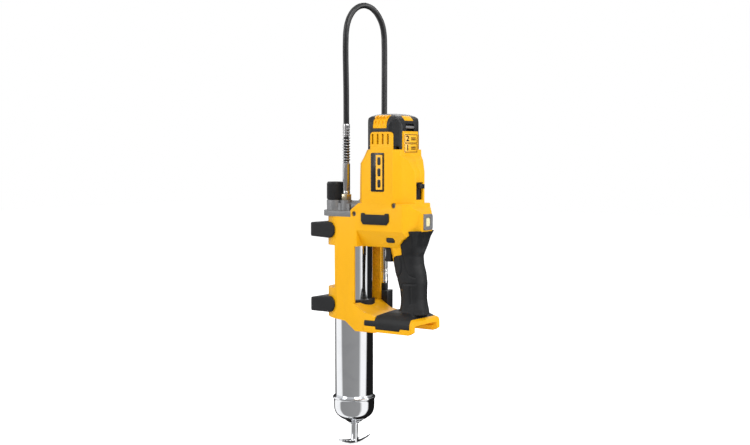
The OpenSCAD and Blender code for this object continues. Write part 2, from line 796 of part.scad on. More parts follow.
module check_ball() color("silver") translate([port_at.x, port_at.y, seat_z + sqrt(ball_r * ball_r - seat_r * seat_r) + 0.1]) sphere(r = ball_r);

module check_spring() color("silver") coil(2.2, 0.35, seat_z + 5.6, 29.9, 4, port_at, 12, 6);

guard_in = hose_d / 2 + 0.1;

// Height of a joint of the spring guards: end 0 is at the pump, end 1 at the coupler
function guard_z(i, end) = end == 0 ? guard_joints[i] : guard_end + guard_joints[i] - guard_joints[0];

module hose_ferrules()
    color("slategray")
        for (end = [0, 1])
            tube(guard_d / 2 + 0.4, guard_in, guard_z(0, end), guard_z(1, end), end == 0 ? port_at : coupler_at);

module hose_coils()
    color("silver")
        for (end = [0, 1])
            coil(guard_in + 0.5, 0.45, guard_z(1, end), guard_z(2, end), 9, end == 0 ? port_at : coupler_at, 14, 6);

module hose_sleeves()
    color("dimgray")
        for (end = [0, 1])
            tube(guard_d / 2 + 0.2, guard_in, guard_z(2, end), guard_z(3, end), end == 0 ? port_at : coupler_at);

collar_z = [-103, guard_end];
nose_z = -134;
jaws_z = [nose_z + 4, nose_z + 9];

module coupler_body()
    color("silver")
        difference() {
            union() {
                rod(4.6, -120, guard_end, coupler_at);
                rod(coupler_d / 2 - 0.2, nose_z, -119, coupler_at);
            }
            rod(mouth_r, nose_z - 1, nose_z + 10, coupler_at);
            rod(1.5, nose_z - 1, guard_end + 1, coupler_at);
            rod(4.4, jaws_z[0], jaws_z[1], coupler_at);
        }

module coupler_jaws()
    color("dimgray")
        difference() {
            tube(4.4, mouth_r, jaws_z[0], jaws_z[1], coupler_at);
            for (a = [0, 60, 120])
                translate([coupler_at.x, coupler_at.y, jaws_z[0] + 2.5]) rotate([0, 0, a]) cube([12, 0.6, 8], center = true);
        }

module coupler_collar()
    color("gainsboro")
        difference() {
            union() {
                rod(coupler_d / 2 - 0.3, collar_z[0], collar_z[1] - 2.5, coupler_at);
                rod(coupler_d / 2 + 0.4, collar_z[0] + 1, collar_z[0] + 4, coupler_at);
                rod(coupler_d / 2 - 1, collar_z[1] - 3, collar_z[1], coupler_at);
            }
            rod(4.6, collar_z[0] - 1, collar_z[1] + 1, coupler_at);
        }

module coupler_grip()
    color(black)
        tube(coupler_d / 2, 4.6, -119, collar_z[0], coupler_at);

holder_z = [-141, -113];

module coupler_holder()
    color(black)
        difference() {
            union() {
                box([12, half_w, holder_z[0]], [32, coupler_at.y + 9, holder_z[1]]);
                box([30, half_w, holder_z[0] + 3], [36, half_w + 12, holder_z[1] - 0.5]);
            }
            rod(coupler_d / 2 + slip_gap, nose_z, holder_z[1] + 1, coupler_at);
            rod(5.2, holder_z[0] - 1, nose_z + 1, coupler_at);
            box([coupler_at.x - 4, coupler_at.y, holder_z[0] - 1], [coupler_at.x + 4, coupler_at.y + 12, holder_z[1] + 1]);
        }

// --- motor and gears --------------------------------------------------------------------

motor_at = [motor_x, 0];
motor_r = 25;
motor_z = [62, 119];
shaft_r = 2.5;
fan_r = 18;
sun_z = [47, 57];
carrier_z = [38, 43];
crank_z = [16, 20.5];
out_shaft_r = 5;
tooth = 1; // module of the gears
orbit_r = tooth * (sun_teeth + planet_teeth) / 2;
ring_teeth = sun_teeth + 2 * planet_teeth;
pressure = 25;
play = 0.12;

// How far the flank has turned away at radius r, in degrees
function unwind(r, rb) = sqrt(max(r * r / (rb * rb) - 1, 0)) * 180 / PI - acos(min(rb / r, 1));

// Outline of a gear from r_in to r_out; grow widens each flank
function gear_outline(teeth, r_in, r_out, grow, n = 5) =
    let (rp = tooth * teeth / 2, rb = rp * cos(pressure), low = max(rb, r_in),
         radii = [for (i = [0:n]) low + (r_out - low) * i / n],
         half = [for (r = radii) 90 / teeth + grow / rp * 180 / PI + unwind(rp, rb) - unwind(r, rb)])
    [for (k = [0:teeth - 1]) let (at = 360 * k / teeth)
        each concat([r_in * [cos(at - half[0]), sin(at - half[0])]],
            [for (i = [(r_in < rb ? 0 : 1):n]) radii[i] * [cos(at - half[i]), sin(at - half[i])]],
            [for (i = [n:-1:(r_in < rb ? 0 : 1)]) radii[i] * [cos(at + half[i]), sin(at + half[i])]],
            [r_in * [cos(at + half[0]), sin(at + half[0])]])];

module gear(teeth, bore_r, z, at)
    difference() {
        translate([at.x, at.y, z[0]]) linear_extrude(z[1] - z[0])
            polygon(gear_outline(teeth, tooth * (teeth / 2 - 1.05), tooth * (teeth / 2 + 0.8), -play));
        rod(bore_r, z[0] - 1, z[1] + 1, at);
    }

module motor_can()
    color("dimgray")
        difference() {
            rod(motor_r, motor_z[0], motor_z[1], motor_at);
            rod(motor_r - 2, motor_z[0] + 3, motor_z[1] - 3, motor_at);
            rod(6, motor_z[0] - 1, motor_z[1] + 1, motor_at);
            for (a = [0:60:300])
                translate([motor_x, 0, motor_z[1] - 2]) rotate([0, 0, a + 30]) translate([15, 0, 0]) cube([12, 6, 12], center = true);
        }

module rotor()
    color("indianred")
        difference() {
            union() {
                rod(shaft_r, sun_z[0], motor_z[1] + 14, motor_at);
                rod(16, motor_z[0] + 12, motor_z[1] - 14, motor_at);
                rod(9, motor_z[1] - 14, motor_z[1] - 8, motor_at);
            }
            for (i = [0:11])
                translate([motor_x, 0, motor_z[0] + 11]) rotate([0, 0, 30 * i]) translate([14, -0.8, 0]) cube([4, 1.6, 80]);
        }

module cooling_fan()
    color("dimgray")
        difference() {
            union() {
                rod(fan_r, motor_z[1] + 5, motor_z[1] + 6.5, motor_at);
                rod(6, motor_z[1] + 5, motor_z[1] + 13, motor_at);
                for (i = [0:10])
                    translate([motor_x, 0, motor_z[1] + 6]) rotate([0, 0, 360 / 11 * i]) translate([5, -0.7, 0]) cube([fan_r - 6, 1.4, 6]);
            }
            rod(shaft_r, motor_z[1], motor_z[1] + 20, motor_at);
        }

module sun_pinion() color("silver") gear(sun_teeth, shaft_r, sun_z, motor_at);

module bearings()
    color("silver") {
        tube(6, shaft_r + run_gap, motor_z[0], motor_z[0] + 3, motor_at);
        tube(6, shaft_r + run_gap, motor_z[1] - 3, motor_z[1], motor_at);
        tube(11, out_shaft_r + run_gap, gear_case_z[0], gear_case_z[0] + 6, motor_at);
    }

module gear_case()
    color("darkgray")
        difference() {
            rod(gear_case_r, gear_case_z[0], gear_case_z[1], motor_at);
            rod(gear_case_r - 1.8, gear_case_z[0] + 7, gear_case_z[1] + 1, motor_at);
            rod(11, gear_case_z[0] - 1, gear_case_z[0] + 6, motor_at);
            rod(8, gear_case_z[0] + 5, gear_case_z[0] + 8, motor_at);
        }

module ring_gear()
    color("silver")
        difference() {
            rod(gear_case_r - 1.8, sun_z[0] - 1, gear_case_z[1], motor_at);
            translate([motor_x, 0, sun_z[0] - 2]) linear_extrude(30)
                polygon(gear_outline(ring_teeth, tooth * (ring_teeth / 2 - 0.8), tooth * (ring_teeth / 2 + 1.05), play));
        }

module planet_gear(i)
    color("silver")
        translate([motor_x, 0, 0]) rotate([0, 0, 120 * i]) translate([orbit_r, 0, 0])
            gear(planet_teeth, 2 + run_gap, sun_z, [0, 0]);

module planet_gear_1() planet_gear(0);

module planet_gear_2() planet_gear(1);

module planet_gear_3() planet_gear(2);

module planet_carrier()
    color("darkgray") {
        rod(18, carrier_z[0], carrier_z[1], motor_at);
        for (i = [0:2]) rod(2, carrier_z[1] - 1, sun_z[1], [motor_x + orbit_r * cos(120 * i), orbit_r * sin(120 * i)]);
        rod(out_shaft_r, crank_z[0], carrier_z[0] + 1, motor_at);
    }

module crank_disc()
    color("darkgray")
        difference() {
            rod(12, crank_z[0], crank_z[1], motor_at);
            rod(out_shaft_r, crank_z[0] - 1, crank_z[1] + 1, motor_at);
        }

yoke_z = [7.5, crank_z[0] - 0.3];
pin_r = 4;

module crank_yoke()
    color("silver")
        difference() {
            union() {
                box([motor_x + throw - 9, -13, yoke_z[0]], [motor_x + throw + 9, 13, yoke_z[1] - 0.5]);
                box([48, -6, yoke_z[0]], [motor_x + throw - 8, 6, yoke_z[1] - 0.5]);
                x_rod(6.5, 46, 56, pump_z);
            }
            box([motor_x + throw - pin_r - slip_gap, -9.3, yoke_z[0] - 1],
                [motor_x + throw + pin_r + slip_gap, 9.3, yoke_z[1] + 1]);
            x_rod(plunger_d / 2, 40, 54, pump_z);
        }

module crank_pin() color("silver") rod(pin_r, yoke_z[0], yoke_z[1], [motor_x + throw, 0]);

module pump_plunger()
    color("gainsboro") x_rod(plunger_d / 2, 8, 54, pump_z);

housing_left();
housing_right();
grip_rubber_left();
grip_rubber_right();
motor_cap();
vent_inserts();
strap_bar();
side_pads();
name_plates();
speed_label();
speed_selector();
led_bezel();
led_lens();
upper_foot();
lower_foot();
trigger();
lock_button();
switch_module();
terminal_block();
control_board();
housing_screws();
pump_head();
bleed_knob();
head_gasket();
barrel();
guide_ring();
end_cap();
rod_bushing();
follower_rod();
pull_handle();
follower_cup();
follower_plate();
follower_spring();
hose_nut();
check_ball();
check_spring();
hose_ferrules();
hose_coils();
hose_sleeves();
hose();
coupler_body();
coupler_jaws();
coupler_collar();
coupler_grip();
coupler_holder();
motor_can();
rotor();
cooling_fan();
sun_pinion();
bearings();
gear_case();
ring_gear();
planet_gear_1();
planet_gear_2();
planet_gear_3();
planet_carrier();
crank_disc();
crank_yoke();
crank_pin();
pump_plunger();
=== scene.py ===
"""Cordless grease gun: the visible skin, finishes, hose and studio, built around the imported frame."""

import json
import logging
import math
from dataclasses import dataclass
from enum import Enum
from typing import Callable, Iterable, Optional, Sequence

import bmesh
import bpy
from mathutils import Matrix, Vector


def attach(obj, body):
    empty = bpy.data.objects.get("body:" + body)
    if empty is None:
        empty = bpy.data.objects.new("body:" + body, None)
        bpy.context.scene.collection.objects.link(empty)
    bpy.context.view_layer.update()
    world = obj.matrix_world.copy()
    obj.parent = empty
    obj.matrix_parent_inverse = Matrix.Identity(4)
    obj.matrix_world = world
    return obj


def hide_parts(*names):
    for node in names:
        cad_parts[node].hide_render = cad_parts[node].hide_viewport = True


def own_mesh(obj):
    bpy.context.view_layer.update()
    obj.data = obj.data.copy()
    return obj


log = logging.getLogger("grease_gun")

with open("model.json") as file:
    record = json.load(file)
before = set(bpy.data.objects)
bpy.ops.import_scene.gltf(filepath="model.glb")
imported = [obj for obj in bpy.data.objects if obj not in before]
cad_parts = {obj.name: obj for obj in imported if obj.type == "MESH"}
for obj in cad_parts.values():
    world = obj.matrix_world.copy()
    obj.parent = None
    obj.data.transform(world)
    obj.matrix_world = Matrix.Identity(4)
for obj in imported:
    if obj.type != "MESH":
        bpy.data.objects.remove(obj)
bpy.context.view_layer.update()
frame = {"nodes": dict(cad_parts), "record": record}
MM = 0.001

Point = tuple[float, float, float]
Flat = tuple[float, float]


class Slot(Enum):
    """The record's material slots that new pieces take their finish from."""

    YELLOW = "yellow_shell"
    RUBBER = "black_rubber"
    BLACK = "black_plastic"
    LABEL = "label"
    GREY = "grey_plastic"
    LENS = "lens"
    BOARD = "board"
    DARK_STEEL = "dark_steel"
    CAST = "cast_metal"
    CHROME = "chrome"
    STEEL = "steel"
    BRASS = "brass"
    COPPER = "copper"
    HOSE = "hose_rubber"


class Axis(Enum):
    """A direction along one of the frame's axes."""

    X = (1.0, 0.0, 0.0)
    Y = (0.0, 1.0, 0.0)
    Z = (0.0, 0.0, 1.0)


# --- shader node groups ---------------------------------------------------------------


class ShaderGroup:
    """A shader node group with named inputs and outputs, wired by a subclass."""

    def __init__(self, name: str) -> None:
        """Starts an empty group.

        Args:
            name: Name of the node group.
        """
        self.tree = bpy.data.node_groups.new(name, "ShaderNodeTree")
        self.nodes = self.tree.nodes
        self.inside = self.nodes.new("NodeGroupInput")
        self.outside = self.nodes.new("NodeGroupOutput")

    def take(self, name: str, kind: str, value: object = None) -> None:
        """Adds an input socket.

        Args:
            name: The socket's name.
            kind: Float, Color or Vector.
            value: Its default.
        """
        sock = self.tree.interface.new_socket(
            name=name, in_out="INPUT", socket_type=f"NodeSocket{kind}"
        )
        if value is not None:
            sock.default_value = value

    def give(self, name: str, kind: str, source: bpy.types.NodeSocket) -> None:
        """Adds an output socket fed by a node inside.

        Args:
            name: The socket's name.
            kind: Float, Color or Vector.
            source: The socket that feeds it.
        """
        self.tree.interface.new_socket(
            name=name, in_out="OUTPUT", socket_type=f"NodeSocket{kind}"
        )
        self.tree.links.new(source, self.outside.inputs[name])

    def node(self, kind: str, links: Optional[dict] = None, **settings: object) -> bpy.types.Node:
        """Adds a node with its settings and links.

        Args:
            kind: The node's type without its ShaderNode prefix.
            links: What each input is fed by, a socket or a plain value.
            **settings: Attributes of the node.

        Returns:
            The new node.
        """
        made = self.nodes.new("ShaderNode" + kind)
        for key, value in settings.items():
            setattr(made, key, value)
        for key, value in (links or {}).items():
            sock = made.inputs[key]
            if isinstance(value, bpy.types.NodeSocket):
                self.tree.links.new(value, sock)
            else:
                sock.default_value = value
        return made

    def sum(self, kind: str, a: object, b: object) -> bpy.types.NodeSocket:
        """Adds a Math node of two values.

        Args:
            kind: The operation, such as MULTIPLY.
            a: First value or socket.
            b: Second value or socket.

        Returns:
            Its output.
        """
        return self.node("Math", {0: a, 1: b}, operation=kind).outputs[0]


class MouldedGrain(ShaderGroup):
    """Fine spark-eroded grain, slow colour drift and rubbed patches of a moulding."""

    def __init__(self) -> None:
        """Wires the group."""
        super().__init__("moulded_grain")
        self.take("Color", "Color", (0.5, 0.5, 0.5, 1))
        self.take("Rubbed Color", "Color", (0.6, 0.6, 0.6, 1))
        self.take("Rubbed Amount", "Float", 0.2)
        self.take("Grain Scale", "Float", 1500.0)
        self.take("Mottle Scale", "Float", 30.0)
        self.take("Rough Low", "Float", 0.3)
        self.take("Rough High", "Float", 0.5)
        place = self.node("TexCoord").outputs["Object"]
        grain = self.node(
            "TexVoronoi",
            {"Vector": place, "Scale": self.inside.outputs["Grain Scale"], "Randomness": 1.0},
            feature="SMOOTH_F1",
        ).outputs["Distance"]
        mottle = self.node(
            "TexNoise",
            {"Vector": place, "Scale": self.inside.outputs["Mottle Scale"], "Detail": 5.0, "Roughness": 0.62},
        ).outputs["Fac"]
        scuff = self.node(
            "TexNoise",
            {"Vector": place, "Scale": 210.0, "Detail": 6.0, "Roughness": 0.7, "Distortion": 0.8},
        ).outputs["Fac"]
        patch = self.sum("MULTIPLY", mottle, scuff)
        patch = self.node(
            "MapRange", {"Value": patch, "From Min": 0.22, "From Max": 0.42}, interpolation_type="SMOOTHSTEP"
        ).outputs["Result"]
        amount = self.sum("MULTIPLY", patch, self.inside.outputs["Rubbed Amount"])
        colour = self.node(
            "Mix",
            {0: amount, 6: self.inside.outputs["Color"], 7: self.inside.outputs["Rubbed Color"]},
            data_type="RGBA",
        ).outputs[2]
        self.give("Color", "Color", colour)
        rough = self.node(
            "MapRange",
            {
                "Value": scuff,
                "From Min": 0.3,
                "From Max": 0.7,
                "To Min": self.inside.outputs["Rough Low"],
                "To Max": self.inside.outputs["Rough High"],
            },
        ).outputs["Result"]
        self.give("Roughness", "Float", rough)
        height = self.sum("ADD", self.sum("MULTIPLY", grain, 0.8), self.sum("MULTIPLY", mottle, 0.25))
        self.give("Height", "Float", height)


class MetalMarks(ShaderGroup):
    """Brush lines, cast pits and handling marks of a metal surface."""

    def __init__(self) -> None:
        """Wires the group."""
        super().__init__("metal_marks")
        self.take("Color", "Color", (0.6, 0.6, 0.6, 1))
        self.take("Dark Color", "Color", (0.4, 0.4, 0.4, 1))
        self.take("Stain", "Float", 0.2)
        self.take("Brush Scale", "Vector", (40.0, 40.0, 900.0))
        self.take("Pit Scale", "Float", 700.0)
        self.take("Pit Amount", "Float", 0.5)
        self.take("Rough Low", "Float", 0.2)
        self.take("Rough High", "Float", 0.35)
        place = self.node("TexCoord").outputs["Object"]
        stretched = self.node(
            "VectorMath", {0: place, 1: self.inside.outputs["Brush Scale"]}, operation="MULTIPLY"
        ).outputs[0]
        brush = self.node("TexNoise", {"Vector": stretched, "Scale": 1.0, "Detail": 4.0}).outputs["Fac"]
        pits = self.node(
            "TexNoise",
            {"Vector": place, "Scale": self.inside.outputs["Pit Scale"], "Detail": 4.0, "Roughness": 0.65},
        ).outputs["Fac"]
        cloud = self.node(
            "TexNoise", {"Vector": place, "Scale": 45.0, "Detail": 6.0, "Roughness": 0.6}
        ).outputs["Fac"]
        stain = self.node(
            "MapRange",
            {"Value": cloud, "From Min": 0.45, "From Max": 0.72, "To Max": self.inside.outputs["Stain"]},
            interpolation_type="SMOOTHSTEP",
        ).outputs["Result"]
        colour = self.node(
            "Mix",
            {0: stain, 6: self.inside.outputs["Color"], 7: self.inside.outputs["Dark Color"]},
            data_type="RGBA",
        ).outputs[2]
        self.give("Color", "Color", colour)
        rough = self.node(
            "MapRange",
            {
                "Value": brush,
                "From Min": 0.3,
                "From Max": 0.7,
                "To Min": self.inside.outputs["Rough Low"],
                "To Max": self.inside.outputs["Rough High"],
            },
        ).outputs["Result"]
        self.give("Roughness", "Float", rough)
        pitted = self.sum("MULTIPLY", pits, self.inside.outputs["Pit Amount"])
        self.give("Height", "Float", self.sum("ADD", self.sum("MULTIPLY", brush, 0.35), pitted))


# --- finishes --------------------------------------------------------------------------


@dataclass(frozen=True)
class Moulding:
    """A plastic or rubber finish. Colours are linear, scales are per metre."""

    slot: Slot
    colour: Point
    rubbed: Point
    rubbed_amount: float = 0.3
    grain_scale: float = 1500.0
    grain_depth: float = 0.25
    mottle_scale: float = 30.0
    rough: Flat = (0.35, 0.5)
    specular: float = 0.5
    coat: float = 0.0
    coat_rough: float = 0.2
    name: str = ""

    def material(self, kit: "FinishKit") -> bpy.types.Material:
        """Makes the material.

        Args:
            kit: The shared shader groups.

        Returns:
            The new material.
        """
        mat, shader, tree = kit.blank(self.name or self.slot.value)
        group = kit.place(tree, kit.moulded)
        kit.set_inputs(group, {
            "Color": (*self.colour, 1),
            "Rubbed Color": (*self.rubbed, 1),
            "Rubbed Amount": self.rubbed_amount,
            "Grain Scale": self.grain_scale,
            "Mottle Scale": self.mottle_scale,
            "Rough Low": self.rough[0],
            "Rough High": self.rough[1],
        })
        kit.set_inputs(shader, {
            "Specular IOR Level": self.specular,
            "Coat Weight": self.coat,
            "Coat Roughness": self.coat_rough,
        })
        kit.wire(tree, group, shader, self.grain_depth)
        return mat


@dataclass(frozen=True)
class Metal:
    """A metal finish. Colours are linear, scales are per metre."""

    slot: Slot
    colour: Point
    dark: Point
    stain: float = 0.2
    brush: Point = (40.0, 40.0, 900.0)
    pits: float = 0.3
    pit_scale: float = 700.0
    depth: float = 0.1
    rough: Flat = (0.2, 0.32)
    metallic: float = 1.0
    name: str = ""

    def material(self, kit: "FinishKit") -> bpy.types.Material:
        """Makes the material.

        Args:
            kit: The shared shader groups.

        Returns:
            The new material.
        """
        mat, shader, tree = kit.blank(self.name or self.slot.value)
        group = kit.place(tree, kit.metal)
        kit.set_inputs(group, {
            "Color": (*self.colour, 1),
            "Dark Color": (*self.dark, 1),
            "Stain": self.stain,
            "Brush Scale": self.brush,
            "Pit Scale": self.pit_scale,
            "Pit Amount": self.pits,
            "Rough Low": self.rough[0],
            "Rough High": self.rough[1],
        })
        kit.set_inputs(shader, {"Metallic": self.metallic})
        kit.wire(tree, group, shader, self.depth)
        return mat


FINISHES: tuple[Moulding | Metal, ...] = (
    Moulding(Slot.YELLOW, (0.875, 0.43, 0.002), (0.82, 0.38, 0.002), 0.35, 1700, 0.12, 22, (0.36, 0.5),
             specular=0.2, coat=0.04, coat_rough=0.25),
    Moulding(Slot.RUBBER, (0.0085, 0.009, 0.010), (0.02, 0.021, 0.023), 0.5, 1100, 0.42, 35, (0.46, 0.66),
             0.36),
    Moulding(Slot.BLACK, (0.010, 0.0105, 0.012), (0.022, 0.023, 0.025), 0.4, 1400, 0.25, 30, (0.34, 0.48),
             0.42),
    Moulding(Slot.LABEL, (0.93, 0.47, 0.02), (0.88, 0.42, 0.02), 0.2, 2400, 0.04, 30, (0.2, 0.3), 0.5),
    Moulding(Slot.GREY, (0.16, 0.16, 0.165), (0.22, 0.22, 0.225), 0.4, 1400, 0.2, 30, (0.36, 0.5), 0.45),
    Moulding(Slot.LENS, (0.86, 0.80, 0.50), (0.92, 0.88, 0.68), 0.6, 600, 0.1, 60, (0.08, 0.16), 0.5,
             coat=0.6, coat_rough=0.05),
    Moulding(Slot.BOARD, (0.02, 0.12, 0.05), (0.03, 0.2, 0.08), 0.5, 600, 0.2, 90, (0.3, 0.45), 0.5),
    Moulding(Slot.HOSE, (0.009, 0.009, 0.010), (0.03, 0.03, 0.032), 0.45, 900, 0.12, 60, (0.24, 0.36), 0.5),
    Metal(Slot.CAST, (0.23, 0.232, 0.236), (0.13, 0.13, 0.135), 0.45, (300, 300, 300), 1.0, 520, 0.5,
          (0.42, 0.6), 0.55),
    Metal(Slot.CHROME, (0.80, 0.81, 0.83), (0.62, 0.63, 0.66), 0.25, (30, 30, 1100), 0.1, 900, 0.012,
          (0.05, 0.11)),
    Metal(Slot.STEEL, (0.52, 0.52, 0.53), (0.36, 0.35, 0.34), 0.4, (300, 300, 1400), 0.3, 900, 0.06,
          (0.2, 0.34)),
    Metal(Slot.DARK_STEEL, (0.17, 0.155, 0.14), (0.09, 0.08, 0.072), 0.5, (90, 90, 1600), 0.4, 900, 0.08,
          (0.26, 0.42)),
    Metal(Slot.BRASS, (0.58, 0.50, 0.36), (0.40, 0.32, 0.20), 0.5, (90, 90, 1400), 0.3, 900, 0.08,
          (0.2, 0.34)),
    Metal(Slot.COPPER, (0.55, 0.24, 0.11), (0.35, 0.14, 0.07), 0.5, (900, 900, 30), 0.3, 900, 0.2,
          (0.3, 0.45)),
)
PLATE_BLACK = Moulding(Slot.BLACK, (0.012, 0.012, 0.013), (0.02, 0.02, 0.02), 0.3, 2600, 0.05, 30,
                       (0.16, 0.26), name="plate_black")


class FinishKit:
    """The shared groups, and every material made from them."""

    def __init__(self) -> None:
        """Builds the groups and the materials."""
        self.moulded = MouldedGrain().tree
        self.metal = MetalMarks().tree
        self.by_slot = {finish.slot: finish.material(self) for finish in FINISHES}
        self.plate_black = PLATE_BLACK.material(self)

    @staticmethod
    def blank(name: str) -> tuple[bpy.types.Material, bpy.types.Node, bpy.types.NodeTree]:
        """Starts a material with a Principled BSDF.

        Args:
            name: The material's name.

        Returns:
            The material, its shader and its node tree.
        """
        mat = bpy.data.materials.new(name)
        mat.use_nodes = True
        tree = mat.node_tree
        return mat, tree.nodes["Principled BSDF"], tree

    @staticmethod
    def set_inputs(node: bpy.types.Node, values: dict[str, float | Sequence[float]]) -> None:
        """Sets a node's own sockets.

        Args:
            node: The node.
            values: Value by socket name.
        """
        for socket, value in values.items():
            node.inputs[socket].default_value = value

    @staticmethod
    def place(tree: bpy.types.NodeTree, group: bpy.types.NodeTree) -> bpy.types.Node:
        """Places a shared group in a material.

        Args:
            tree: The material's node tree.
            group: The group.

        Returns:
            The group node.
        """
        node = tree.nodes.new("ShaderNodeGroup")
        node.node_tree = group
        return node

    @staticmethod
    def wire(tree: bpy.types.NodeTree, group: bpy.types.Node, shader: bpy.types.Node, depth: float) -> None:
        """Feeds a shader from a group, its height through a Bump node.

        Args:
            tree: The material's node tree.
            group: The group node.
            shader: The Principled BSDF.
            depth: Strength of the bump.
        """
        bump = tree.nodes.new("ShaderNodeBump")
        bump.inputs["Strength"].default_value = depth
        bump.inputs["Distance"].default_value = 0.0004
        tree.links.new(group.outputs["Color"], shader.inputs["Base Color"])
        tree.links.new(group.outputs["Roughness"], shader.inputs["Roughness"])
        tree.links.new(group.outputs["Height"], bump.inputs["Height"])
        tree.links.new(bump.outputs["Normal"], shader.inputs["Normal"])

    def dress_frame(self) -> None:
        """Gives every CAD node the material of its slot."""
        slots = {row["node"]: row["material_slot"] for row in frame["record"]["subparts"]}
        for name, obj in frame["nodes"].items():
            obj.data.materials.clear()
            obj.data.materials.append(self.by_slot[Slot(slots[name])])


# --- mesh tools --------------------------------------------------------------------------


class Workshop:
    """Mesh tools shared by the sub-assemblies. Sizes are in millimetres."""

    def __init__(self, kit: FinishKit) -> None:
        """Keeps the finishes.

        Args:
            kit: The materials.
        """
        self.kit = kit

    def piece(
        self,
        name: str,
        mesh: bpy.types.Mesh,
        slot: Slot,
        body: str = "root",
        stands_for: Sequence[str] = (),
        smooth: float = 35.0,
        material: Optional[bpy.types.Material] = None,
    ) -> bpy.types.Object:
        """Makes a finished mesh an object that rides on a body.

        Args:
            name: The piece's name.
            mesh: Its mesh, in metres, in the frame.
            slot: The record's slot that it takes its finish from.
            body: The body that it rides on.
            stands_for: CAD nodes that it replaces.
            smooth: Angle in degrees above which an edge stays sharp.
            material: A material other than the slot's own.

        Returns:
            The object.
        """
        obj = bpy.data.objects.new(name, mesh)
        bpy.context.scene.collection.objects.link(obj)
        mesh.materials.clear()
        mesh.materials.append(material or self.kit.by_slot[slot])
        for face in mesh.polygons:
            face.material_index = 0
            face.use_smooth = True
        mesh.set_sharp_from_angle(angle=math.radians(smooth))
        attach(obj, body)
        if stands_for:
            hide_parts(*stands_for)
        log.info("%s: %d faces", name, len(mesh.polygons))
        return obj

    def form(
        self,
        name: str,
        bm: bmesh.types.BMesh,
        slot: Slot,
        body: str = "root",
        stands_for: Sequence[str] = (),
        material: Optional[bpy.types.Material] = None,
    ) -> bpy.types.Object:
        """Makes a bmesh a finished piece, with nothing more done to its shape.

        Args:
            name: The piece's name.
            bm: Its form, which is freed.
            slot: The record's slot that it takes its finish from.
            body: The body that it rides on.
            stands_for: CAD nodes that it replaces.
            material: A material other than the slot's own.

        Returns:
            The object.
        """
        return self.piece(name, self.to_mesh(bm, name), slot, body, stands_for, material=material)

    @staticmethod
    def cad_copy(*names: str) -> bmesh.types.BMesh:
        """A merged copy of CAD nodes.

        Args:
            *names: The nodes.

        Returns:
            One mesh, its doubles merged.
        """
        bm = bmesh.new()
        for name in names:
            bm.from_mesh(frame["nodes"][name].data)
        bmesh.ops.remove_doubles(bm, verts=bm.verts, dist=2e-6)
        return bm

    @staticmethod
    def to_mesh(bm: bmesh.types.BMesh, name: str) -> bpy.types.Mesh:
        """Turns a bmesh into a mesh.

        Args:
            bm: The bmesh, which is freed.
            name: The mesh's name.

        Returns:
            The mesh.
        """
        mesh = bpy.data.meshes.new(name)
        bm.to_mesh(mesh)
        bm.free()
        return mesh

    @staticmethod
    def modified(mesh: bpy.types.Mesh, *steps: Callable[[bpy.types.Object], None]) -> bpy.types.Mesh:
        """Applies modifiers to a mesh.

        Args:
            mesh: The mesh.
            *steps: Each adds and sets up one modifier on an object.

        Returns:
            The result as a plain mesh.
        """
        obj = bpy.data.objects.new("bench", mesh)
        bpy.context.scene.collection.objects.link(obj)
        for step in steps:
            step(obj)
        bpy.context.view_layer.update()
        done = bpy.data.meshes.new_from_object(obj.evaluated_get(bpy.context.evaluated_depsgraph_get()))
        bpy.data.objects.remove(obj)
        return done

    @staticmethod
    def bevel(
        width: float, segments: int = 3, angle: Optional[float] = 28.0
    ) -> Callable[[bpy.types.Object], None]:
        """A step that rounds the edges.

        Args:
            width: Width of the round.
            segments: Faces across it.
            angle: Edges sharper than this are rounded, in degrees; None for the marked edges.

        Returns:
            The step.
        """

        def step(obj: bpy.types.Object) -> None:
            mod = obj.modifiers.new("round", "BEVEL")
            mod.width, mod.segments = width * MM, segments
            if angle is None:
                mod.limit_method = "WEIGHT"
            else:
                mod.limit_method, mod.angle_limit = "ANGLE", math.radians(angle)
            mod.use_clamp_overlap = True
            mod.miter_outer = "MITER_ARC"

        return step

    @staticmethod
    def remesh(voxel: float, smooth: int = 6, factor: float = 0.5) -> Callable[[bpy.types.Object], None]:
        """A step that rounds a whole form through a voxel mesh.

        Args:
            voxel: Voxel size.
            smooth: Smoothing passes.
            factor: Strength of each.

        Returns:
            The step.
        """

        def step(obj: bpy.types.Object) -> None:
            mod = obj.modifiers.new("voxels", "REMESH")
            mod.mode, mod.voxel_size = "VOXEL", voxel * MM
            if smooth:
                mod = obj.modifiers.new("smooth", "SMOOTH")
                mod.iterations, mod.factor = smooth, factor

        return step

    @staticmethod
    def weigh(bm: bmesh.types.BMesh, crisp: tuple[Point, Point], angle: float) -> None:
        """Merges flat faces and marks the edges to round, leaving a box alone.

        Args:
            bm: The form.
            crisp: Corners of the box, in millimetres.
            angle: Edges sharper than this are marked, in degrees.
        """
        low, high = crisp
        inside = {v for v in bm.verts if all(a < c / MM < b for a, c, b in zip(low, v.co, high))}
        edges = [e for e in bm.edges if not inside.intersection(e.verts)]
        bmesh.ops.dissolve_limit(bm, angle_limit=math.radians(0.6), verts=[], edges=edges)
        layer = bm.edges.layers.float.new("bevel_weight_edge")
        for edge in bm.edges:
            held = any(all(a < c / MM < b for a, c, b in zip(low, v.co, high)) for v in edge.verts)
            sharp = len(edge.link_faces) == 2 and edge.calc_face_angle(0.0) > math.radians(angle)
            edge[layer] = 1.0 if sharp and not held else 0.0

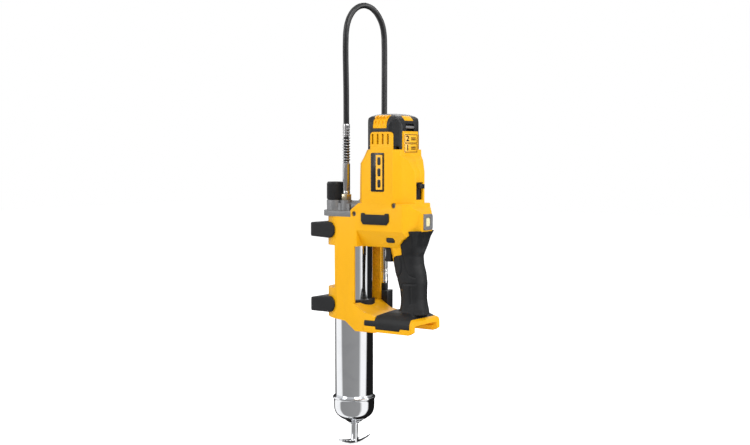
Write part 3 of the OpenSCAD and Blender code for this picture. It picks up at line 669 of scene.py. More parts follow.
    def rounded_copy(
        self, name: str, nodes: Sequence[str], slot: Slot, width: float, segments: int = 3,
        body: str = "root", angle: float = 28.0, crisp: Optional[tuple[Point, Point]] = None,
        shape: Optional[Callable[[bmesh.types.BMesh], None]] = None, **more: object,
    ) -> bpy.types.Object:
        """A CAD form with its edges rounded.

        Args:
            name: The piece's name.
            nodes: CAD nodes that it is made from and replaces.
            slot: Its slot.
            width: Width of the round.
            segments: Faces across it.
            body: Body that it rides on.
            angle: Edges sharper than this are rounded, in degrees.
            crisp: Corners of a box, in millimetres, whose edges stay sharp.
            shape: Changes the form before the rounding.
            **more: Passed to piece.

        Returns:
            The object.
        """
        bm = self.cad_copy(*nodes)
        if shape is not None:
            shape(bm)
        if crisp is None:
            bmesh.ops.dissolve_limit(bm, angle_limit=math.radians(0.6), verts=bm.verts, edges=bm.edges)
        else:
            self.weigh(bm, crisp, angle)
        mesh = self.modified(self.to_mesh(bm, name), self.bevel(width, segments, None if crisp else angle))
        return self.piece(name, mesh, slot, body, stands_for=nodes, **more)

    def spring(self, node: str, body: str, joint: str, travel: float, at_top: bool) -> None:
        """Makes a spring as a plain copy of its CAD node.

        Args:
            node: CAD node that it is made from and replaces.
            body: Body that it rides on.
            joint: The joint. Not used.
            travel: The joint's travel, in millimetres. Not used.
            at_top: Whether its fixed end is the upper one. Not used.
        """
        obj = self.piece(f"{node}_wire", self.to_mesh(self.cad_copy(node), node), Slot.STEEL, body,
                         stands_for=[node])
        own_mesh(obj)

    @staticmethod
    def spin(
        profile: Sequence[Flat], at: Flat = (0, 0), segments: int = 96, closed: bool = True,
        axis: Axis = Axis.Z,
    ) -> bmesh.types.BMesh:
        """Turns a profile of (radius, height) about an axis.

        Args:
            profile: The outline, in millimetres.
            at: Where the axis stands in the plane across it.
            segments: Faces round the turn.
            closed: Whether the outline joins up with itself.
            axis: The axis, Z or X.

        Returns:
            The turned mesh, with its poles merged and its faces outwards.
        """
        bm = bmesh.new()
        rings = []
        for r, z in profile:
            ring = []
            for i in range(segments):
                a = 2 * math.pi * i / segments
                across, up = r * math.cos(a), r * math.sin(a)
                if axis is Axis.Z:
                    spot = (at[0] + across, at[1] + up, z)
                else:
                    spot = (z, at[0] + across, at[1] + up)
                ring.append(bm.verts.new(Vector(spot) * MM))
            rings.append(ring)
        pairs = list(zip(rings, rings[1:])) + ([(rings[-1], rings[0])] if closed else [])
        for low, high in pairs:
            for i in range(segments):
                j = (i + 1) % segments
                bm.faces.new((low[i], low[j], high[j], high[i]))
        bmesh.ops.remove_doubles(bm, verts=bm.verts, dist=1e-6)
        bmesh.ops.dissolve_degenerate(bm, edges=bm.edges, dist=1e-7)
        bmesh.ops.recalc_face_normals(bm, faces=bm.faces)
        return bm

    @staticmethod
    def slab(outline: Sequence[Flat], low: float, high: float, axis: Axis) -> bmesh.types.BMesh:
        """A flat outline carried along an axis.

        Args:
            outline: Points across the axis: (y, z) along X, (x, z) along Y, (x, y) along Z.
            low: Where it starts.
            high: Where it ends.
            axis: The axis.

        Returns:
            The closed form.
        """
        bm = bmesh.new()

        def spot(p: Flat, d: float) -> Vector:
            places = {Axis.X: (d, p[0], p[1]), Axis.Y: (p[0], d, p[1]), Axis.Z: (p[0], p[1], d)}
            return Vector(places[axis]) * MM

        ends = [[bm.verts.new(spot(p, d)) for p in outline] for d in (low, high)]
        count = len(outline)
        for end in ends:
            bm.faces.new(end)
        for i in range(count):
            j = (i + 1) % count
            bm.faces.new((ends[0][i], ends[0][j], ends[1][j], ends[1][i]))
        bmesh.ops.recalc_face_normals(bm, faces=bm.faces)
        return bm

    @staticmethod
    def join(*parts: bmesh.types.BMesh) -> bmesh.types.BMesh:
        """Joins bmeshes into the first.

        Args:
            *parts: The bmeshes; all but the first are freed.

        Returns:
            The first.
        """
        first = parts[0]
        for part in parts[1:]:
            scratch = bpy.data.meshes.new("scratch")
            part.to_mesh(scratch)
            part.free()
            first.from_mesh(scratch)
            bpy.data.meshes.remove(scratch)
        return first


def rounded_rect(x0: float, y0: float, x1: float, y1: float, r: float, n: int = 6) -> list[Flat]:
    """Outline of a rectangle with round corners.

    Args:
        x0: Left.
        y0: Bottom.
        x1: Right.
        y1: Top.
        r: Corner radius.
        n: Faces round each corner.

    Returns:
        The points, anticlockwise.
    """
    spots = []
    for cx, cy, start in ((x1 - r, y0 + r, -90), (x1 - r, y1 - r, 0), (x0 + r, y1 - r, 90),
                          (x0 + r, y0 + r, 180)):
        for i in range(n + 1):
            a = math.radians(start + 90 * i / n)
            spots.append((cx + r * math.cos(a), cy + r * math.sin(a)))
    return spots


def smooth_line(points: Sequence[Flat], steps: int = 5) -> list[Flat]:
    """A Catmull-Rom curve through points.

    Args:
        points: The points, in order.
        steps: Points for each span.

    Returns:
        The curve's points, the last one included.
    """
    out: list[Flat] = []
    last = len(points) - 1
    for i in range(last):
        p0, p1, p2, p3 = (Vector(points[max(0, min(last, k))]) for k in (i - 1, i, i + 1, i + 2))
        for s in range(steps):
            t = s / steps
            spot = 0.5 * (2 * p1 + (p2 - p0) * t + (2 * p0 - 5 * p1 + 4 * p2 - p3) * t * t
                          + (3 * p1 - p0 - 3 * p2 + p3) * t ** 3)
            out.append((spot.x, spot.y))
    out.append(tuple(points[-1]))
    return out


# --- geometry nodes -----------------------------------------------------------------------


class GeoTree:
    """A Geometry Nodes tree with named inputs, wired by a subclass."""

    def __init__(self, name: str) -> None:
        """Starts an empty tree.

        Args:
            name: The tree's name.
        """
        self.tree = bpy.data.node_groups.new(name, "GeometryNodeTree")
        self.tree.is_modifier = True
        self.tree.interface.new_socket(name="Geometry", in_out="OUTPUT", socket_type="NodeSocketGeometry")
        self.inside = self.tree.nodes.new("NodeGroupInput")
        self.outside = self.tree.nodes.new("NodeGroupOutput")
        self.keys: dict[str, str] = {}

    def take(self, name: str, kind: str, value: object = None) -> bpy.types.NodeSocket:
        """Adds a named input.

        Args:
            name: The input's name.
            kind: Float, Int, Vector or Material.
            value: Its default.

        Returns:
            The socket inside the tree.
        """
        sock = self.tree.interface.new_socket(name=name, in_out="INPUT", socket_type=f"NodeSocket{kind}")
        if value is not None:
            sock.default_value = value
        self.keys[name] = sock.identifier
        return self.inside.outputs[name]

    def node(self, kind: str, links: Optional[dict] = None, **settings: object) -> bpy.types.Node:
        """Adds a node with its settings and links.

        Args:
            kind: The node's full type.
            links: What each input is fed by, a socket or a plain value.
            **settings: Attributes of the node.

        Returns:
            The new node.
        """
        made = self.tree.nodes.new(kind)
        for key, value in settings.items():
            setattr(made, key, value)
        for key, value in (links or {}).items():
            if isinstance(value, bpy.types.NodeSocket):
                self.tree.links.new(value, made.inputs[key])
            else:
                made.inputs[key].default_value = value
        return made

    def math(self, kind: str, a: object, b: object = 0.0) -> bpy.types.NodeSocket:
        """Adds a Math node.

        Args:
            kind: The operation.
            a: First value or socket.
            b: Second value or socket.

        Returns:
            Its output.
        """
        return self.node("ShaderNodeMath", {0: a, 1: b}, operation=kind).outputs[0]

    def finish(self, geometry: bpy.types.NodeSocket, material: bpy.types.NodeSocket) -> None:
        """Ends the tree in Realize Instances and Set Material.

        Args:
            geometry: What to end with.
            material: The material's socket.
        """
        real = self.node("GeometryNodeRealizeInstances", {"Geometry": geometry})
        done = self.node("GeometryNodeSetMaterial", {"Geometry": real.outputs[0], "Material": material})
        self.tree.links.new(done.outputs[0], self.outside.inputs["Geometry"])

    def run(self, name: str, values: dict[str, object]) -> bpy.types.Mesh:
        """Runs the tree and returns its result as a plain mesh.

        Args:
            name: Name for the mesh.
            values: The inputs by name.

        Returns:
            The mesh, in metres.
        """
        obj = bpy.data.objects.new(name, bpy.data.meshes.new(name))
        bpy.context.scene.collection.objects.link(obj)
        mod = obj.modifiers.new("tree", "NODES")
        mod.node_group = self.tree
        for key, value in values.items():
            mod[self.keys[key]] = value
        bpy.context.view_layer.update()
        done = bpy.data.meshes.new_from_object(obj.evaluated_get(bpy.context.evaluated_depsgraph_get()))
        bpy.data.objects.remove(obj)
        return done


class CoilTree(GeoTree):
    """A round wire wound about an upright axis."""

    def __init__(self) -> None:
        """Wires the tree."""
        super().__init__("wire_coil")
        radius = self.take("Radius", "Float", 0.005)
        wire = self.take("Wire Radius", "Float", 0.0005)
        turns = self.take("Turns", "Float", 9.0)
        height = self.take("Height", "Float", 0.03)
        base = self.take("Base", "Vector", (0, 0, 0))
        material = self.take("Material", "Material")
        line = self.node(
            "GeometryNodeCurveSpiral",
            {"Resolution": 26, "Rotations": turns, "Start Radius": radius, "End Radius": radius,
             "Height": height},
        )
        ring = self.node("GeometryNodeCurvePrimitiveCircle", {"Resolution": 10, "Radius": wire})
        tube = self.node(
            "GeometryNodeCurveToMesh",
            {"Curve": line.outputs[0], "Profile Curve": ring.outputs[0], "Fill Caps": True},
        )
        placed = self.node("GeometryNodeTransform", {"Geometry": tube.outputs[0], "Translation": base})
        self.finish(placed.outputs[0], material)


class RowTree(GeoTree):
    """Bars of one size in a straight row."""

    def __init__(self) -> None:
        """Wires the tree."""
        super().__init__("bar_row")
        count = self.take("Count", "Int", 4)
        start = self.take("Start", "Vector", (0, 0, 0))
        step = self.take("Step", "Vector", (0.005, 0, 0))
        size = self.take("Bar Size", "Vector", (0.002, 0.001, 0.01))
        turn = self.take("Turn", "Vector", (0, 0, 0))
        material = self.take("Material", "Material")
        line = self.node(
            "GeometryNodeMeshLine", {"Count": count, "Start Location": start, "Offset": step},
            mode="OFFSET", count_mode="TOTAL",
        )
        bar = self.node("GeometryNodeMeshCube",
                        {"Size": size, "Vertices X": 3, "Vertices Y": 3, "Vertices Z": 5})
        eased = self.node("GeometryNodeSubdivisionSurface", {"Mesh": bar.outputs[0], "Level": 1})
        placed = self.node(
            "GeometryNodeInstanceOnPoints",
            {"Points": line.outputs[0], "Instance": eased.outputs[0], "Rotation": turn}
        )
        self.finish(placed.outputs[0], material)


class RingTree(GeoTree):
    """Bars or flutes of one size round an upright axis."""

    def __init__(self) -> None:
        """Wires the tree."""
        super().__init__("rib_ring")
        count = self.take("Count", "Int", 24)
        radius = self.take("Ring Radius", "Float", 0.012)
        centre = self.take("Centre", "Vector", (0, 0, 0))
        width = self.take("Rib Radius", "Float", 0.001)
        height = self.take("Rib Height", "Float", 0.02)
        material = self.take("Material", "Material")
        circle = self.node("GeometryNodeCurvePrimitiveCircle", {"Resolution": count, "Radius": radius})
        points = self.node("GeometryNodeCurveToPoints", {"Curve": circle.outputs[0]}, mode="EVALUATED")
        rib = self.node(
            "GeometryNodeMeshCylinder",
            {"Vertices": 10, "Side Segments": 1, "Radius": width, "Depth": height},
        )
        placed = self.node(
            "GeometryNodeInstanceOnPoints", {"Points": points.outputs[0], "Instance": rib.outputs["Mesh"]}
        )
        moved = self.node("GeometryNodeTransform", {"Geometry": placed.outputs[0], "Translation": centre})
        self.finish(moved.outputs[0], material)


class ScrewTree(GeoTree):
    """Pan-head screws with a hexagon socket, on points, facing along -Y."""

    def __init__(self) -> None:
        """Wires the tree."""
        super().__init__("socket_screws")
        radius = self.take("Head Radius", "Float", 0.0033)
        depth = self.take("Head Depth", "Float", 0.002)
        material = self.take("Material", "Material")
        spots = self.take("Spots", "Object")
        points = self.node("GeometryNodeObjectInfo", {"Object": spots}, transform_space="ORIGINAL")
        head = self.node("GeometryNodeMeshCylinder", {"Vertices": 32, "Radius": radius, "Depth": depth})
        hole = self.node(
            "GeometryNodeMeshCylinder",
            {"Vertices": 6, "Radius": self.math("MULTIPLY", radius, 0.5), "Depth": depth},
        )
        up = self.node("ShaderNodeCombineXYZ", {"Z": self.math("MULTIPLY", depth, 0.5)})
        raised = self.node("GeometryNodeTransform",
                           {"Geometry": hole.outputs["Mesh"], "Translation": up.outputs[0]})
        cut = self.node("GeometryNodeMeshBoolean", {"Mesh 1": head.outputs["Mesh"]}, operation="DIFFERENCE",
                        solver="EXACT")
        self.tree.links.new(raised.outputs[0], cut.inputs["Mesh 2"])
        placed = self.node(
            "GeometryNodeInstanceOnPoints",
            {"Points": points.outputs["Geometry"], "Instance": cut.outputs["Mesh"],
             "Rotation": (math.pi / 2, 0, 0)},
        )
        self.finish(placed.outputs[0], material)


# --- studio ----------------------------------------------------------------------------------


@dataclass
class Studio:
    """Camera, floor, lights and a banded surround for the plated parts to mirror. Sizes are in metres."""

    camera_at: Point = (1.0160, -1.3964, 0.0980)
    aim: Point = (0.0256, 0.0179, -0.0097)
    lens: float = 55.73
    floor_z: float = -0.3425
    floor_half: float = 6.0

    def build(self) -> None:
        """Makes the camera first, then the rest."""
        self.make_camera()
        self.make_floor()
        self.make_world()
        self.make_light("key", (1.7, -0.9, 1.5), 1.5, 1.5, 30)
        self.make_light("side", (-1.2, -2.0, 0.9), 1.0, 1.6, 17)
        self.make_light("back", (-1.0, 1.8, 1.3), 1.4, 1.2, 16)
        self.make_light("rim", (1.9, 1.2, 0.7), 0.6, 1.6, 13)

    def make_camera(self) -> None:
        """Makes the camera and turns it to the aim."""
        data = bpy.data.cameras.new("camera")
        data.lens, data.sensor_width = self.lens, 36.0
        data.clip_start, data.clip_end = 0.05, 30.0
        obj = bpy.data.objects.new("camera", data)
        bpy.context.scene.collection.objects.link(obj)
        obj.location = self.camera_at
        obj.rotation_euler = (Vector(self.aim) - Vector(self.camera_at)).to_track_quat("-Z", "Y").to_euler()
        bpy.context.scene.camera = obj

    def make_floor(self) -> None:
        """Makes the pale floor."""
        bm = bmesh.new()
        h = self.floor_half
        bm.faces.new([bm.verts.new((x, y, self.floor_z)) for x, y in ((-h, -h), (h, -h), (h, h), (-h, h))])
        obj = bpy.data.objects.new("floor", Workshop.to_mesh(bm, "floor"))
        bpy.context.scene.collection.objects.link(obj)
        mat, shader, tree = FinishKit.blank("floor")
        shader.inputs["Base Color"].default_value = (0.86, 0.86, 0.86, 1)
        shader.inputs["Roughness"].default_value = 0.8
        shader.inputs["Emission Color"].default_value = (1, 1, 1, 1)
        rays = tree.nodes.new("ShaderNodeLightPath")
        lift = tree.nodes.new("ShaderNodeMath")
        lift.operation = "MULTIPLY"
        lift.inputs[1].default_value = 0.55
        tree.links.new(rays.outputs["Is Camera Ray"], lift.inputs[0])
        tree.links.new(lift.outputs[0], shader.inputs["Emission Strength"])
        obj.data.materials.append(mat)
        obj.visible_glossy = False

    @staticmethod
    def make_light(name: str, at: Point, wide: float, tall: float, power: float) -> None:
        """Makes a soft area light that faces the object.

        Args:
            name: Its name.
            at: Its place.
            wide: Width.
            tall: Height.
            power: Power in watts.
        """
        data = bpy.data.lights.new(name, "AREA")
        data.shape, data.size, data.size_y, data.energy = "RECTANGLE", wide, tall, power
        obj = bpy.data.objects.new(name, data)
        bpy.context.scene.collection.objects.link(obj)
        obj.location = at
        obj.rotation_euler = (Vector((0.03, 0, 0)) - Vector(at)).to_track_quat("-Z", "Y").to_euler()

    @staticmethod
    def make_world() -> None:
        """Makes the pale surround, which glossy surfaces see as soft upright bands."""
        world = bpy.data.worlds.new("surround")
        bpy.context.scene.world = world
        world.use_nodes = True
        tree = world.node_tree

        def node(kind: str, links: dict, **settings: object) -> bpy.types.Node:
            made = tree.nodes.new("ShaderNode" + kind)
            for key, value in settings.items():
                setattr(made, key, value)
            for key, value in links.items():
                if isinstance(value, bpy.types.NodeSocket):
                    tree.links.new(value, made.inputs[key])
                else:
                    made.inputs[key].default_value = value
            return made

        way = node("SeparateXYZ", {0: node("TexCoord", {}).outputs["Generated"]})
        turn = node("Math", {0: way.outputs[1], 1: way.outputs[0]}, operation="ARCTAN2").outputs[0]
        turn = node("Math", {0: turn, 1: math.radians(54)}, operation="ADD").outputs[0]
        turn = node("Math", {0: turn, 1: math.tau}, operation="DIVIDE").outputs[0]
        turn = node("Math", {0: turn, 1: 0.5}, operation="ADD").outputs[0]
        turn = node("Math", {0: turn}, operation="FRACT").outputs[0]
        ramp = node("ValToRGB", {0: turn}).color_ramp
        bands = ((0.0, 0.02), (0.085, 0.03), (0.115, 1.15), (0.245, 1.1), (0.275, 0.30), (0.59, 0.34),
                 (0.63, 1.15),
                 (0.725, 1.15), (0.75, 0.012), (0.985, 0.012))
        for i, (spot, value) in enumerate(bands):
            stop = ramp.elements[i] if i < 2 else ramp.elements.new(spot)
            stop.position, stop.color = spot, (value, value, value, 1)
        ramp_out = next(n for n in tree.nodes if n.type == "VALTORGB").outputs[0]
        lift = node("MapRange", {"Value": way.outputs[2], "From Min": 0.25, "From Max": 0.8})
        banded = node("Mix", {0: lift.outputs["Result"], 6: ramp_out, 7: (0.9, 0.9, 0.9, 1)},
                      data_type="RGBA")
        rays = node("LightPath", {})
        plain = node("Mix", {0: rays.outputs["Is Camera Ray"], 6: (0.62, 0.62, 0.64, 1), 7: (1, 1, 1, 1)},
                     data_type="RGBA")
        seen = node("Mix", {0: rays.outputs["Is Glossy Ray"], 6: plain.outputs[2], 7: banded.outputs[2]},
                    data_type="RGBA")
        tree.links.new(seen.outputs[2], tree.nodes["Background"].inputs["Color"])
        bpy.context.scene.view_settings.view_transform = "Standard"


# --- sub-assemblies ------------------------------------------------------------------------------


@dataclass
class HoseRun:
    """The hose, its spring guards and its coupler. Millimetres."""

    shop: Workshop
    port: Flat = (-10.3, -5.0)
    coupler: Flat = (22.0, 47.0)
    hose_d: float = 8.7
    guard_d: float = 10.2
    joints: tuple[float, ...] = (32.7, 78.8, 117.4, 136.6)
    guard_end: float = -86.5
    route: tuple[Point, ...] = (
        (-10.3, -5, 32.7), (-10.3, -5, 60), (-10.3, -5, 90), (-10.3, -5, 118), (-10.3, -5, 140),
        (-10, -5.5, 160), (-9, -7, 185), (-8, -9, 212), (-7, -11, 240), (-6.2, -11.8, 258),
        (-5.8, -11.2, 272), (-5, -8.5, 285), (-3.6, -2.5, 297), (-1.5, 6.5, 306.5), (1.4, 18, 312),
        (4.6, 31, 312), (7.5, 42.5, 306.5), (9.8, 51.5, 297), (11.4, 57.8, 285), (12.2, 60.5, 272),
        (12.6, 61, 258), (13.4, 60.2, 235), (15, 57.8, 200), (16.8, 55, 165), (18.6, 52.3, 130),
        (20.2, 49.8, 95), (21.4, 48, 62), (22, 47, 30), (22, 47, 18), (22, 47, -20), (22, 47, -55),
        (22, 47, -86.5),
    )

    def length(self) -> float:
        """Length of the route, in metres."""
        return sum((Vector(b) - Vector(a)).length for a, b in zip(self.route, self.route[1:])) * MM

    def build_hose(self) -> bpy.types.Object:
        """Makes the hose as a curve along its route."""
        data = bpy.data.curves.new("hose_line", "CURVE")
        data.dimensions = "3D"
        data.bevel_depth = self.hose_d / 2 * MM
        data.bevel_resolution = 6
        data.resolution_u = 6
        data.use_fill_caps = True
        line = data.splines.new("BEZIER")
        line.bezier_points.add(len(self.route) - 1)
        for point, spot in zip(line.bezier_points, self.route):
            point.co = Vector(spot) * MM
            point.handle_left_type = point.handle_right_type = "AUTO"
        data.materials.append(self.shop.kit.by_slot[Slot.HOSE])
        obj = bpy.data.objects.new("hose_line", data)
        bpy.context.scene.collection.objects.link(obj)
        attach(obj, "root")
        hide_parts("hose")
        return obj

    def build_guards(self) -> list[bpy.types.Object]:
        """Makes the ferrules, sleeves and open coils of both guards."""
        made = []
        inner, outer = self.hose_d / 2 + 0.1, self.guard_d / 2
        shift = self.guard_end - self.joints[0]
        spots = ((self.port, 0.0), (self.coupler, shift))
        ferrules, sleeves = [], []
        for at, dz in spots:
            z = [joint + dz for joint in self.joints]
            big, small = outer + 0.4, outer + 0.2
            ferrules.append(self.shop.spin(
                [(inner, z[0]), (big - 0.5, z[0]), (big, z[0] + 0.6), (big, z[0] + 4.0),
                 (big - 0.35, z[0] + 4.5),
                 (big - 0.35, z[0] + 5.5), (big, z[0] + 6.0), (big, z[1] - 1.2), (big - 0.9, z[1]),
                 (inner, z[1])], at, 48))
            turns = []
            for i in range(3):
                low = z[2] + 2.9 + 3.9 * i
                turns += [(small - 1.0, low - 1.3), (small - 0.1, low - 1.0), (small, low),
                          (small - 0.1, low + 1.0),
                          (small - 1.0, low + 1.3)]
            sleeves.append(self.shop.spin(
                [(inner, z[2]), (small - 1.0, z[2]), *turns, (small - 0.7, z[3] - 6.6), (small, z[3] - 6.2),
                 (small, z[3] - 2.5), (small - 0.15, z[3] - 0.9), (small - 0.6, z[3]), (inner, z[3])], at,
                 48))
        for name, parts, node in (("guard_ferrules", ferrules, "hose_ferrules"),
                                  ("guard_sleeves", sleeves, "hose_sleeves")):
            made.append(self.shop.form(name, self.shop.join(*parts), Slot.STEEL, stands_for=[node]))
        tree = CoilTree()
        coils = bmesh.new()
        for at, dz in spots:
            low, high = self.joints[1] + dz, self.joints[2] + dz
            coil = tree.run("coil", {
                "Radius": (inner + 0.45) * MM, "Wire Radius": 0.85 * MM, "Turns": 9.0,
                "Height": (high - low - 2.0) * MM,
                "Base": Vector((at[0], at[1], low + 1.0)) * MM, "Material": self.shop.kit.by_slot[Slot.STEEL],
            })
            coils.from_mesh(coil)
            bpy.data.meshes.remove(coil)
        bmesh.ops.recalc_face_normals(coils, faces=coils.faces)
        made.append(self.shop.form("guard_coils", coils, Slot.STEEL, stands_for=["hose_coils"]))
        return made

    def build_coupler(self) -> list[bpy.types.Object]:
        """Makes the coupler's body, collar and grip sleeve."""
        x = self.coupler
        collar = self.shop.spin(smooth_line([(4.62, -86.6), (5.0, -86.55), (5.2, -87.0)], 3)
                                + [(5.25, -89.0), (5.9, -89.4), (5.9, -97.5), (6.15, -98.4), (6.6, -99.0),
                                   (6.6, -101.8),
                                   (6.2, -102.6), (5.9, -102.95), (4.62, -102.95)], x, 64)
        grip_line = [(4.62, -103.05), (6.0, -103.05)]
        for i in range(5):
            z = -104.2 - 2.9 * i
            grip_line += [(6.2, z), (6.2, z - 1.6), (5.75, z - 2.0), (5.75, z - 2.5)]
        grip = self.shop.spin(grip_line + [(6.1, -118.6), (5.9, -118.95), (4.62, -118.95)], x, 64)
        body = self.shop.spin(
            [(1.5, -86.6), (4.5, -86.6), (4.5, -119.0), (5.7, -119.0), (6.0, -119.4), (6.0, -127.0),
             (5.7, -127.4), (5.7, -128.2),
             (6.0, -128.6), (6.0, -132.8), (5.2, -133.9), (3.8, -133.95), (3.4, -133.5), (3.4, -130.0),
             (4.35, -129.95),
             (4.35, -125.05), (3.4, -125.0), (3.4, -124.0), (1.5, -123.4)], x, 64)
        out = []
        for name, bm, slot, node in (("coupler_ring", collar, Slot.CHROME, "coupler_collar"),
                                     ("coupler_sleeve", grip, Slot.BLACK, "coupler_grip"),
                                     ("coupler_barrel", body, Slot.STEEL, "coupler_body")):
            out.append(self.shop.form(name, bm, slot, stands_for=[node]))
        return out

    def build(self) -> None:
        hose = self.build_hose()
        riders = [*self.build_guards(), *self.build_coupler(), "coupler_jaws"]
        round(self.length(), 4)


@dataclass
class Shell:
    """The moulded skin: housing halves, rubber, motor cap and trim. Millimetres."""

    shop: Workshop
    half_w: float = 35.0
    motor_x: float = 70.0
    cap_z: float = 98.8
    cap_h: float = 49.0
    led_x: float = 130.0
    grip: tuple[tuple[float, float, float, float], ...] = (
        (-140, 108.0, 24.0, 22.0), (-128, 107.8, 19.2, 17.4), (-116, 107.0, 18.4, 16.5),
        (-104, 106.3, 19.2, 16.5),
        (-92, 104.7, 21.4, 16.8), (-78, 101.4, 22.8, 17.0), (-66, 98.3, 22.2, 16.8), (-54, 97.0, 22.4, 17.2),
        (-42, 98.6, 24.6, 20.0), (-30, 101.0, 28.0, 24.0), (-17, 104.0, 30.5, 29.0),
    )
    exponent: float = 2.6
    flare_shift: tuple[Flat, ...] = ((-46, 0.0), (-40, 2.2), (-36, 3.7), (-26, 6.0))
    slotted: tuple[Point, Point] = ((61.5, -60, 104), (98.5, 60, 122.8))
    creases: tuple[tuple[Flat, ...], ...] = (
        ((80, -50), (86, -50.5), (92, -54), (95.5, -61), (96.5, -69), (95.5, -77), (91, -83), (84, -87)),
        ((97, -44), (99, -54), (102, -66), (105, -75), (109, -81), (117, -84)),
        ((94.5, -122), (95, -104), (96, -97), (99, -94), (112, -93.5), (118, -93)),
        ((111, -98), (110.5, -108), (111.5, -122)),
    )

    def station(self, z: float) -> tuple[float, float, float]:
        """The grip's section at a height.

        Args:
            z: The height.

        Returns:
            Middle, half length and half width.
        """
        rows = self.grip
        z = max(rows[0][0], min(rows[-1][0], z))
        for low, high in zip(rows, rows[1:]):
            if z <= high[0]:
                t = (z - low[0]) / (high[0] - low[0])
                return tuple(a + (b - a) * t for a, b in zip(low[1:], high[1:]))
        return rows[-1][1:]

    def reach(self, spot: Vector) -> float:
        """How far out a point is in the grip's oval section, 1 on its skin.

        Args:
            spot: The point, in millimetres.

        Returns:
            The measure.
        """
        mid, a, b = self.station(spot.z)
        n = self.exponent
        return (abs((spot.x - mid) / a) ** n + abs(spot.y / b) ** n) ** (1 / n)

    def round_grip(self, bm: bmesh.types.BMesh, low: float, high: float, inner: float) -> None:
        """Moves the outer points of a grip form onto its oval section.

        Args:
            bm: The form.
            low: Height where the move starts.
            high: Height where it ends.
            inner: Points nearer the middle than this measure stay.
        """
        farthest, end_fade, inner_fade = 1.5, 12.0, 0.06
        for vert in bm.verts:
            spot = vert.co / MM
            if not low < spot.z < high:
                continue
            measure = self.reach(spot)
            if measure < inner or measure > farthest:
                continue
            ends = min((spot.z - low) / end_fade, (high - spot.z) / end_fade, 1.0)
            part = min((measure - inner) / inner_fade, 1.0) * max(ends, 0.0)
            mid = self.station(spot.z)[0]
            scale = 1 + (1 / measure - 1) * part
            vert.co = Vector(((mid + (spot.x - mid) * scale), spot.y * scale, spot.z)) * MM

    @staticmethod
    def between(z: float, rows: Sequence[Flat]) -> float:
        """A value read from a table by height.

        Args:
            z: The height.
            rows: Heights, rising, each with its value.

        Returns:
            The value.
        """
        if z <= rows[0][0]:
            return rows[0][1]
        for low, high in zip(rows, rows[1:]):
            if z <= high[0]:
                return low[1] + (high[1] - low[1]) * (z - low[0]) / (high[0] - low[0])
        return rows[-1][1]

    def draw_in(self, bm: bmesh.types.BMesh, top: float) -> None:
        """Draws in the flare of the grip's back, under the lamp.

        Args:
            bm: The form.
            top: Height of the highest points that move.
        """
        front, fade = 112, 12
        for vert in bm.verts:
            spot = vert.co / MM
            if spot.z < top and spot.x > front:
                shift = self.between(spot.z, self.flare_shift) * min((spot.x - front) / fade, 1.0)
                vert.co.x -= shift * MM

    def crown(self, points: Iterable[bpy.types.MeshVertex]) -> None:
        """Domes the top of the motor cap.

        Args:
            points: Vertices of a piece on the cap.
        """
        low, high = self.cap_z + 18, self.cap_z + self.cap_h
        for vert in points:
            spot = vert.co / MM
            rise = min(max((spot.z - low) / (high - low), 0.0), 1.0)
            off = max(abs(spot.x - 70.5) / 31.0, abs(spot.y) / 35.0)
            vert.co.z += rise * (2.6 - 6.4 * min(off, 1.0) ** 2.2) * MM

    def build_housing(self) -> None:
        """Makes the two yellow halves, their edges rounded."""
        for side in ("left", "right"):
            node = f"housing_{side}"
            self.shop.rounded_copy(f"shell_{side}", [node], Slot.YELLOW, 1.6, 4, crisp=self.slotted,
                                   shape=lambda bm: self.draw_in(bm, -18.8))

    def build_rubber(self) -> None:
        """Makes the grip and foot rubber as one soft overmould in two halves."""
        for side in ("left", "right"):
            node = f"grip_rubber_{side}"
            bm = self.shop.cad_copy(node)
            self.draw_in(bm, -12.0)
            mesh = self.shop.modified(self.shop.to_mesh(bm, node), self.shop.remesh(0.85, 0))
            bm = bmesh.new()
            bm.from_mesh(mesh)
            self.round_grip(bm, -132, -38, 0.90)
            bpy.data.meshes.remove(mesh)
            mesh = self.shop.modified(self.shop.to_mesh(bm, node), lambda o: self.soften(o, 8, 0.5))
            self.score(mesh)
            self.shop.piece(f"overmould_{side}", mesh, Slot.RUBBER, stands_for=[node], smooth=60)

    def score(self, mesh: bpy.types.Mesh) -> None:
        """Presses the soft creases between the grip's pads into its sides.

        Args:
            mesh: The overmould.
        """
        lines = [[Vector(spot) for spot in smooth_line(line, 3)] for line in self.creases]
        for vert in mesh.vertices:
            spot = vert.co / MM
            if not -124 < spot.z < -40 or abs(spot.y) < 7:
                continue
            here = Vector((spot.x, spot.z))
            gap = 9.0
            for line in lines:
                for a, b in zip(line, line[1:]):
                    run = b - a
                    t = max(0.0, min(1.0, (here - a).dot(run) / max(run.length_squared, 1e-9)))
                    gap = min(gap, (here - a - run * t).length)
            if gap < 2.0:
                deep = 1.1 * (0.5 + 0.5 * math.cos(math.pi * gap / 2.0))
                vert.co.y -= math.copysign(deep * MM, vert.co.y)

    @staticmethod
    def soften(obj: bpy.types.Object, passes: int, factor: float) -> None:
        """Adds a smoothing modifier.

        Args:
            obj: The object.
            passes: Smoothing passes.
            factor: Strength of each.
        """
        mod = obj.modifiers.new("smooth", "SMOOTH")
        mod.iterations, mod.factor = passes, factor

